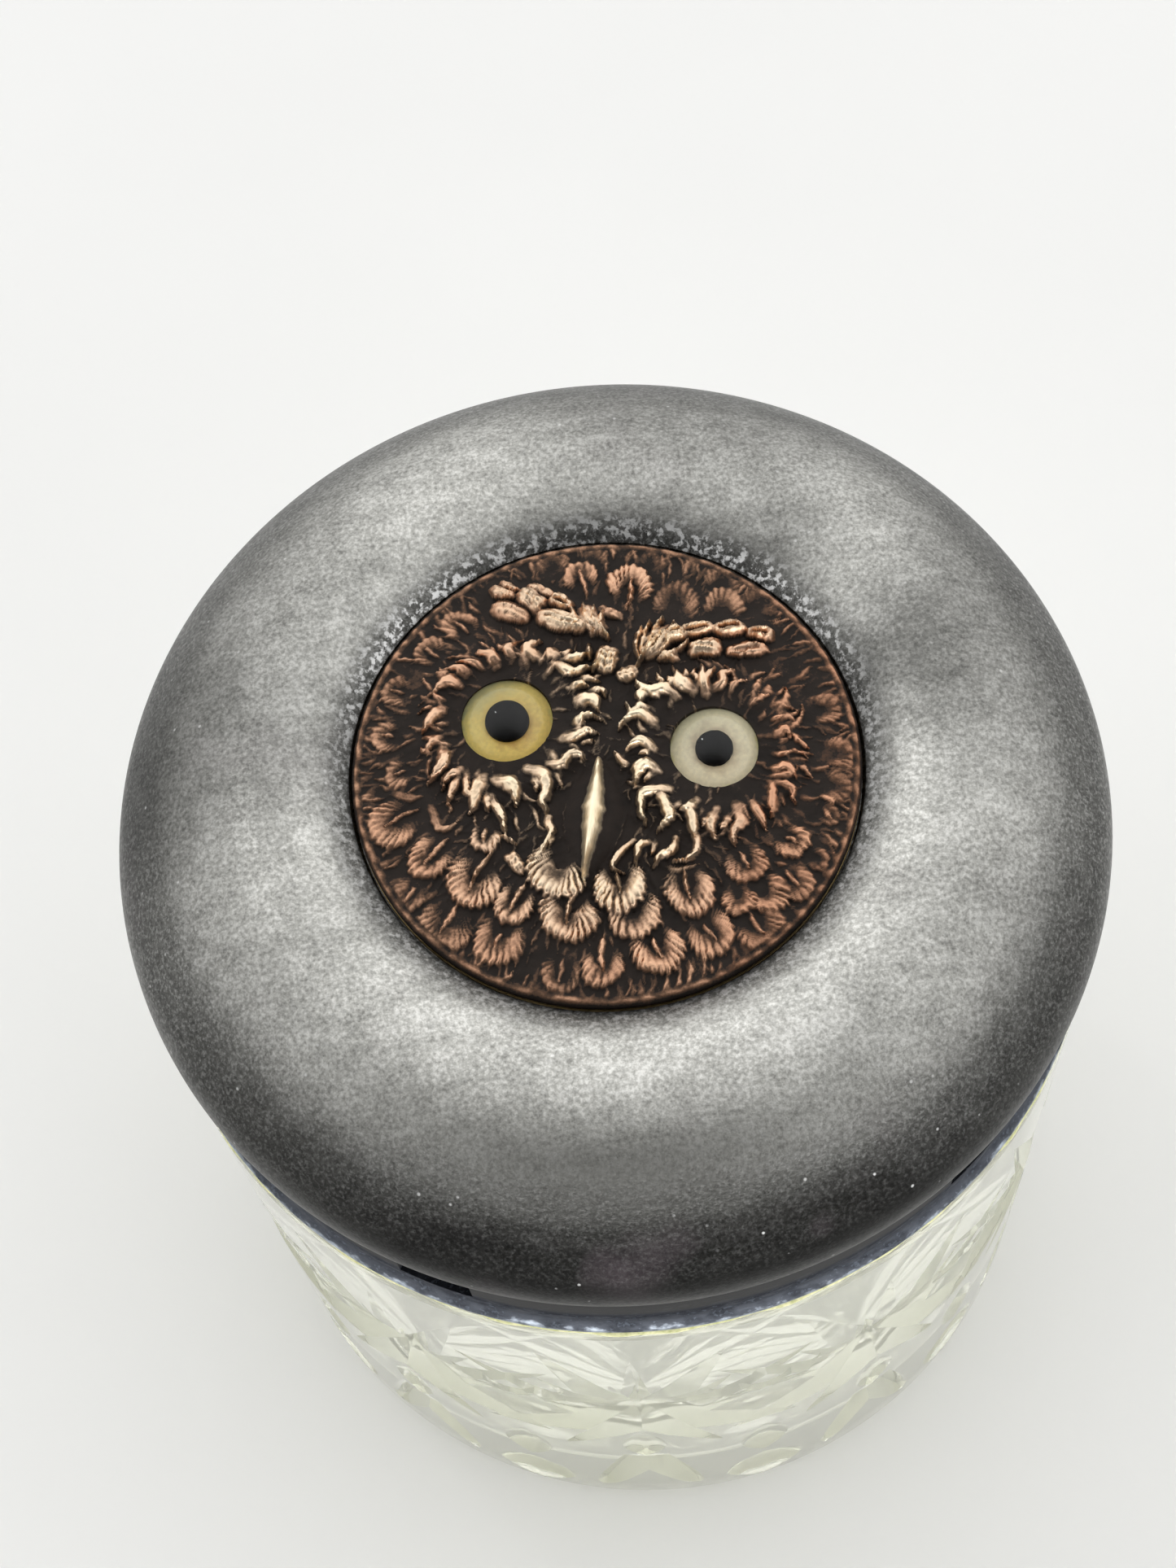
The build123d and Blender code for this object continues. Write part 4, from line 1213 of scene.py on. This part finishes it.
def owl_relief(x, y):
    """The relief at points of the owl's frame, its ground, and the beak's crest."""
    relief = Relief(x + 0.08 * uneven(x, y, 1.1, 41) + 0.035 * uneven(x, y, 0.30, 46),
                    y + 0.08 * uneven(x, y, 1.1, 42) + 0.035 * uneven(x, y, 0.30, 47))
    relief.r = np.hypot(x, y)
    for side in (-1, 1):
        relief.swell((side * EYE_X, EYE_Y), 5.0, 1.0, 0.30)
    relief.swell((0, 1.5), 0, 2.4, 0.35)
    relief.swell((0, -5.0), 0, 3.4, 0.15)
    down(relief)
    eye_rings(relief)
    rim_marks(relief)
    for feather in RUFF + CHIN:
        relief.feather(*feather)
    relief.lump((-4.6, -8.35), -44, 2.0, 1.0, 0.65, bars=4)
    crest = beak(relief, x, y)
    for points, width, lift in LEFT_LOCKS + LEFT_WISPS + RIGHT_LOCKS + RIGHT_WISPS:
        relief.lock(points, width * LOCK_WIDTH, lift)
    brows(relief)
    relief.h += 0.008 * uneven(x, y, 0.35, 43) + 0.03 * uneven(x, y, 1.3, 44)
    edge = FACE_R - relief.r
    nicks = 0.5 + 0.5 * uneven(x, y, 0.6, 45)
    rim = RIM_TOP + 0.10 - 0.10 * np.clip(nicks, 0, 1)
    outer = soft(edge, 0.75, 0.50)
    relief.h = relief.h * (1 - outer) + rim * outer
    relief.h -= 0.25 * (1 - soft(edge, 0, 0.25))
    return relief.h, relief.ground, crest


# ---- the stamped face --------------------------------------------------------------------
GRID = 300                # quads across the face
EDGE_SLACK = 0.16         # corners this close to an opening move on to its edge
WEAR_STEP = 0.10          # spacing of the grid that wear is worked out on
WEAR_REACH = (0.9, 0.35)  # hollows of these two sizes keep their patina


def disc_grid(count):
    """Points of a square grid bent into a disc, with an exact round edge."""
    u, v = np.meshgrid(np.linspace(-1, 1, count + 1), np.linspace(-1, 1, count + 1), indexing="ij")
    wide = np.abs(u) > np.abs(v)
    safe_u = np.where(u == 0, 1, u)
    safe_v = np.where(v == 0, 1, v)
    radius = np.where(wide, u, v)
    angle = np.where(wide, pi / 4 * v / safe_u, pi / 2 - pi / 4 * u / safe_v)
    return radius * np.cos(angle) * FACE_R, radius * np.sin(angle) * FACE_R


def sample(grid, step, x, y):
    """Read a square grid centred on the medallion at any points, between its nodes."""
    half = (len(grid) - 1) / 2
    i = np.clip(y / step + half, 0, len(grid) - 1.001)
    j = np.clip(x / step + half, 0, len(grid) - 1.001)
    i0, j0 = i.astype(int), j.astype(int)
    a, b = i - i0, j - j0
    return ((grid[i0, j0] * (1 - b) + grid[i0, j0 + 1] * b) * (1 - a)
            + (grid[i0 + 1, j0] * (1 - b) + grid[i0 + 1, j0 + 1] * b) * a)


def wear_of(x, y, height, ground):
    """How much of the patina is rubbed off each point, from 0 (hollow) to 1 (bright)."""
    half = int(FACE_R / WEAR_STEP) + 4
    line = np.arange(-half, half + 1) * WEAR_STEP
    gx, gy = np.meshgrid(line, line)
    level = owl_relief(gx, gy)[0]
    proud, crisp = [height - sample(blur(level, reach / WEAR_STEP), WEAR_STEP, x, y)
                    for reach in WEAR_REACH]
    above = 1 - np.exp(-np.maximum(height - ground, 0) / 0.36)
    rim = soft(np.hypot(x, y), FACE_R - 0.55, FACE_R - 0.40)
    outer = soft(np.hypot(x, y + 2.0), 6, 16)
    return np.clip(0.10 + 0.07 * outer + 0.56 * above + 0.60 * proud + 1.3 * crisp + 0.10 * rim, 0, 1)


def gold_of(x, y, height, ground, crest):
    """The middle of the face is rubbed to a paler, more golden metal."""
    middle = 1 - soft(np.hypot(x + 0.5, (y + 1.0) * 0.85), 5.0, 12.5)
    high = soft(height - ground, 0.35, 1.05)
    return np.clip(0.08 + 0.45 * middle + 0.50 * high - 0.20 * soft(x, 8, 14) + crest, 0, 1)


def socket_holes(work):
    """Open the face over each eye, and draw the edge of each opening out to a circle."""
    for eye in EYES.values():
        reach = (eye["radius"] + 0.05) * MM
        centre = Vector((*eye["centre"], 0)) * MM
        inside = [f for f in work.faces if (f.calc_center_median().xy - centre.xy).length < reach]
        bmesh.ops.delete(work, geom=inside, context="FACES")
        for vert in work.verts:
            away = vert.co.xy - centre.xy
            if vert.is_boundary and abs(away.length - reach) < EDGE_SLACK * MM:
                vert.co.xy = centre.xy + away.normalized() * reach


def close_under(work):
    """Turn the open sheet of the face into a solid with a flat underside."""
    edges = [e for e in work.edges if e.is_boundary]
    lower = bmesh.ops.extrude_edge_only(work, edges=edges)["geom"]
    for vert in [v for v in lower if isinstance(v, bmesh.types.BMVert)]:
        vert.co.z = FACE_Z * MM
    loops = [e for e in work.edges if e.is_boundary]
    bmesh.ops.triangle_fill(work, use_beauty=True, edges=loops)
    bmesh.ops.delete(work, geom=[v for v in work.verts if not v.link_faces], context="VERTS")
    bmesh.ops.recalc_face_normals(work, faces=work.faces)


def face(shader):
    """The stamped copper owl, as one closed sheet with two openings for the eyes."""
    x, y = disc_grid(GRID)
    height, ground, crest = owl_relief(x, y)
    wear = wear_of(x, y, height, ground)
    gold = gold_of(x, y, height, ground, crest)
    c, s = cos(OWL_TURN), sin(OWL_TURN)
    points = np.stack([x * c - y * s, x * s + y * c, FACE_Z + height], axis=2).reshape(-1, 3)
    row = GRID + 1
    index = np.arange(row * row).reshape(row, row)
    faces = np.stack([index[:-1, :-1], index[1:, :-1], index[1:, 1:], index[:-1, 1:]], axis=2)
    mesh = bpy.data.meshes.new("owl_face")
    mesh.from_pydata((points * MM).tolist(), [], faces.reshape(-1, 4).tolist())
    for name, values in (("wear", wear), ("gold", gold)):
        layer = mesh.attributes.new(name, "FLOAT", "POINT")
        layer.data.foreach_set("value", values.ravel().astype(np.float32))
    work = bmesh.new()
    work.from_mesh(mesh)
    socket_holes(work)
    close_under(work)
    work.to_mesh(mesh)
    work.free()
    return dress(make_object("owl_face", mesh), "lid", shader, "medallion_face", angle=60)


# ---- the glass eyes ----------------------------------------------------------------------
SEAM = 0.015              # the painted disc is fused this far into its glass
PUPIL_SHARE = 0.88        # the domed glass makes a pupil look larger than it is


def local_lathe(name, section, centre, steps=128, bend=None):
    """A turned piece whose object stands at its own centre."""
    piece = make_object(name, make_mesh(name, *lathe(section, steps, closed=False, bend=bend)))
    piece.location = Vector((*centre, 0)) * MM
    return piece


def cornea(name, eye, shader):
    base, girdle = eye["iris"][1], 0.5
    rise = eye["top"] - base - girdle
    ball = (eye["radius"] ** 2 + rise ** 2) / (2 * rise)
    stop = degrees(np.arcsin(eye["radius"] / ball))
    dome = arc(0, eye["top"] - ball, ball, 90 - stop, 90, 26)
    button = pupil_section(eye, 0.0)
    section = button + [(eye["radius"], base), (eye["radius"], base + 0.25)] + dome
    piece = local_lathe(name + "_cornea", section, eye["centre"])
    return dress(piece, "lid", shader, name + "_eye_cornea", angle=40)


def pupil_section(eye, grow):
    """The low black button under the glass, from its middle to its edge."""
    base, top, r = eye["iris"][1], eye["pupil_top"] + grow, eye["pupil"] * PUPIL_SHARE + grow
    return [(0, top)] + arc(r - 0.3, top - 0.3, 0.3, 90, 0, 7) + [(r, base)]


def pupil(name, eye, shader, ragged):
    section = pupil_section(eye, SEAM)
    foot = eye["iris"][1] - 0.05
    section = section[:-1] + [(eye["pupil"] * PUPIL_SHARE + SEAM, foot), (0, foot)]

    def bend(turn, radius, height):
        return radius * (1 + ragged * waver(turn, (3, 5, 8, 13, 19), 51)), height
    piece = local_lathe(name + "_pupil", section, eye["centre"], bend=bend)
    return dress(piece, "lid", shader, name + "_eye_pupil", angle=40)


def iris_disc(name, eye, shader):
    low, high = eye["iris"]
    r = eye["radius"] - 0.03
    section = [(0, low), (r - 0.1, low), (r, low + 0.1), (r, high - 0.05), (r - 0.05, high + SEAM)]
    section += [(r * share, high + SEAM) for share in (0.8, 0.6, 0.4, 0.2, 0)]
    piece = local_lathe(name + "_iris", section, eye["centre"])
    return dress(piece, "lid", shader, name + "_eye_iris", angle=40)


# ---- stage, light and camera -------------------------------------------------------------
CAMERA_DISTANCE = 167.2
CAMERA_ELEVATION = 65.8
CAMERA_ROLL = -6.61
CAMERA_PAN = 0.56
CAMERA_TILT = 0.65
LENS = 54.16


def camera():
    """A camera above the front of the lid, close enough for strong perspective."""
    aim = Vector((0, 0, LID_LOW[2] + EQUATOR))
    tilt = radians(CAMERA_ELEVATION)
    back = Vector((0, -cos(tilt), sin(tilt)))
    right = Vector((1, 0, 0))
    basis = Matrix((right, back.cross(right), back)).transposed()
    for angle, axis in ((CAMERA_ROLL, "Z"), (CAMERA_PAN, "Y"), (CAMERA_TILT, "X")):
        basis = basis @ Matrix.Rotation(radians(angle), 3, axis)
    data = bpy.data.cameras.new("camera")
    data.lens = LENS
    data.clip_start = 0.005
    piece = make_object("camera", data)
    place = (aim + back * CAMERA_DISTANCE) * MM
    piece.matrix_world = Matrix.Translation(place) @ basis.to_4x4()
    bpy.context.scene.camera = piece


def floor(shader):
    """A wide sheet of pale paper."""
    ring = [(0, 0), (150, 0), (500, 0), (1500, 0), (1500, -2), (0, -2)]
    piece = make_object("floor", make_mesh("floor", *lathe(ring, 96, closed=False)))
    piece.location.z = -0.0001
    piece.data.materials.append(shader)


def area_light(name, place, size, power, aim):
    """A rectangular lamp, in metres and watts, that the camera doesn't see."""
    data = bpy.data.lights.new(name, "AREA")
    data.shape = "RECTANGLE"
    data.size, data.size_y = size
    data.energy = power
    piece = make_object(name, data)
    piece.location = place
    piece.visible_camera = False
    piece.rotation_euler = (Vector(place) - Vector(aim)).to_track_quat("Z", "Y").to_euler()


# Brightness of the tent, from the side away from the viewer to the open side.
SKY = ((0.0, 1.0), (0.60, 0.97), (0.787, 0.85), (0.872, 0.60), (0.933, 0.20), (0.975, 0.04))
SKY_STRENGTH = 1.31
OPEN_SIDE = (-0.10, -0.74, 0.66)
# Name, place, size, power, aim.
LAMPS = (("soft_box", (-0.30, 0.35, 0.75), (0.045, 0.045), 0.16, (0, 0, 0.06)),
         ("low_fill", (0.10, -1.40, 0.10), (3.5, 0.19), 36, (0, 0, 0.10)))


def studio():
    """A bright tent, open and darker on the viewer's side, with a small lamp and a low one in front."""
    world = bpy.data.worlds.new("studio")
    bpy.context.scene.world = world
    world.use_nodes = True
    tree = world.node_tree
    way = tree.nodes.new("ShaderNodeTexCoord").outputs["Generated"]
    facing = tree.nodes.new("ShaderNodeVectorMath")
    facing.operation = "DOT_PRODUCT"
    facing.inputs[1].default_value = Vector(OPEN_SIDE).normalized()
    half = tree.nodes.new("ShaderNodeMapRange")
    half.inputs[1].default_value = -1
    shade = tree.nodes.new("ShaderNodeValToRGB")
    fill_ramp(shade.color_ramp, SKY)
    background = tree.nodes["Background"]
    background.inputs[1].default_value = SKY_STRENGTH
    for source, socket in ((way, facing.inputs[0]), (facing.outputs["Value"], half.inputs[0]),
                           (half.outputs[0], shade.inputs[0]), (shade.outputs[0], background.inputs[0])):
        tree.links.new(source, socket)
    for lamp in LAMPS:
        area_light(*lamp)


# ---- the model ---------------------------------------------------------------------------
# For each eye: slot, rim, middle and centre (plain and warm colour), warm side, share of grey.
IRISES = {
    "left": ("iris_yellow", ((0.44, 0.46, 0.20), (0.95, 0.78, 0.20)),
             ((0.92, 0.76, 0.22), (0.98, 0.68, 0.16)), ((0.92, 0.70, 0.17), (0.55, 0.26, 0.05)),
             (0.6, -0.8), 0.75),
    "right": ("iris_cream", ((0.68, 0.60, 0.36), (0.92, 0.86, 0.26)),
              ((1.0, 0.92, 0.62), (0.95, 0.82, 0.56)), ((0.62, 0.52, 0.34), (0.76, 0.62, 0.40)),
              (0.0, -1.0), 0.40),
}
RAGGED = {"left": 0.0, "right": 0.03}   # how uneven each pupil's outline is


def keep_node(node, shader):
    """A CAD node whose shape stays, with a better material."""
    data = frame["nodes"][node].data
    data.materials.clear()
    data.materials.append(shader)


def hidden_parts():
    """Better materials for the CAD nodes that keep their shape."""
    keep_node("lid_sleeve", worn_metal("sleeve_metal", (0.20, 0.21, 0.22), (0.40, 0.41, 0.42), 0.42))
    keep_node("sleeve_solder", worn_metal("solder", (0.30, 0.30, 0.29), (0.52, 0.52, 0.50), 0.38, 0.8, 0.05))
    keep_node("lid_liner", worn_metal("liner_metal", (0.66, 0.66, 0.64), (0.86, 0.86, 0.84), 0.40))
    keep_node("seal_washer", chalky("cork", (0.22, 0.12, 0.06), (0.58, 0.38, 0.22), 1.1, 0.10))
    keep_node("medallion_filler", chalky("pitch", (0.02, 0.016, 0.013), (0.06, 0.05, 0.04), 0.8, 0.04, 0.5))
    brass = worn_metal("brass_plate", (0.42, 0.29, 0.12), (0.72, 0.54, 0.26), 0.35)
    keep_node("medallion_back", brass)
    keep_node("medallion_tabs", brass)


def eyes():
    """Two glass eyes of different sizes and colours, each on its iron wire."""
    iron = worn_metal("iron_wire", (0.07, 0.06, 0.055), (0.22, 0.17, 0.14), 0.55)
    glass, jet = eye_glass(), black_glass()
    for name, eye in EYES.items():
        slot, rim, middle, centre, warm_side, grey = IRISES[name]
        paint = iris(slot, rim, middle, centre, eye["radius"], warm_side, grey)
        iris_disc(name, eye, paint)
        pupil(name, eye, jet, RAGGED[name])
        cornea(name, eye, glass)
        keep_node(name + "_eye_wire", iron)


glass_jar(clear_glass())
collar(collar_metal())
cement(chalky("cement", (0.35, 0.36, 0.16), (0.62, 0.60, 0.36), 0.5, 0.05))
lid(pewter())
face(stamped_copper())
hidden_parts()
eyes()
floor(floor_paper())
studio()
camera()
bpy.context.scene.view_settings.view_transform = "Standard"
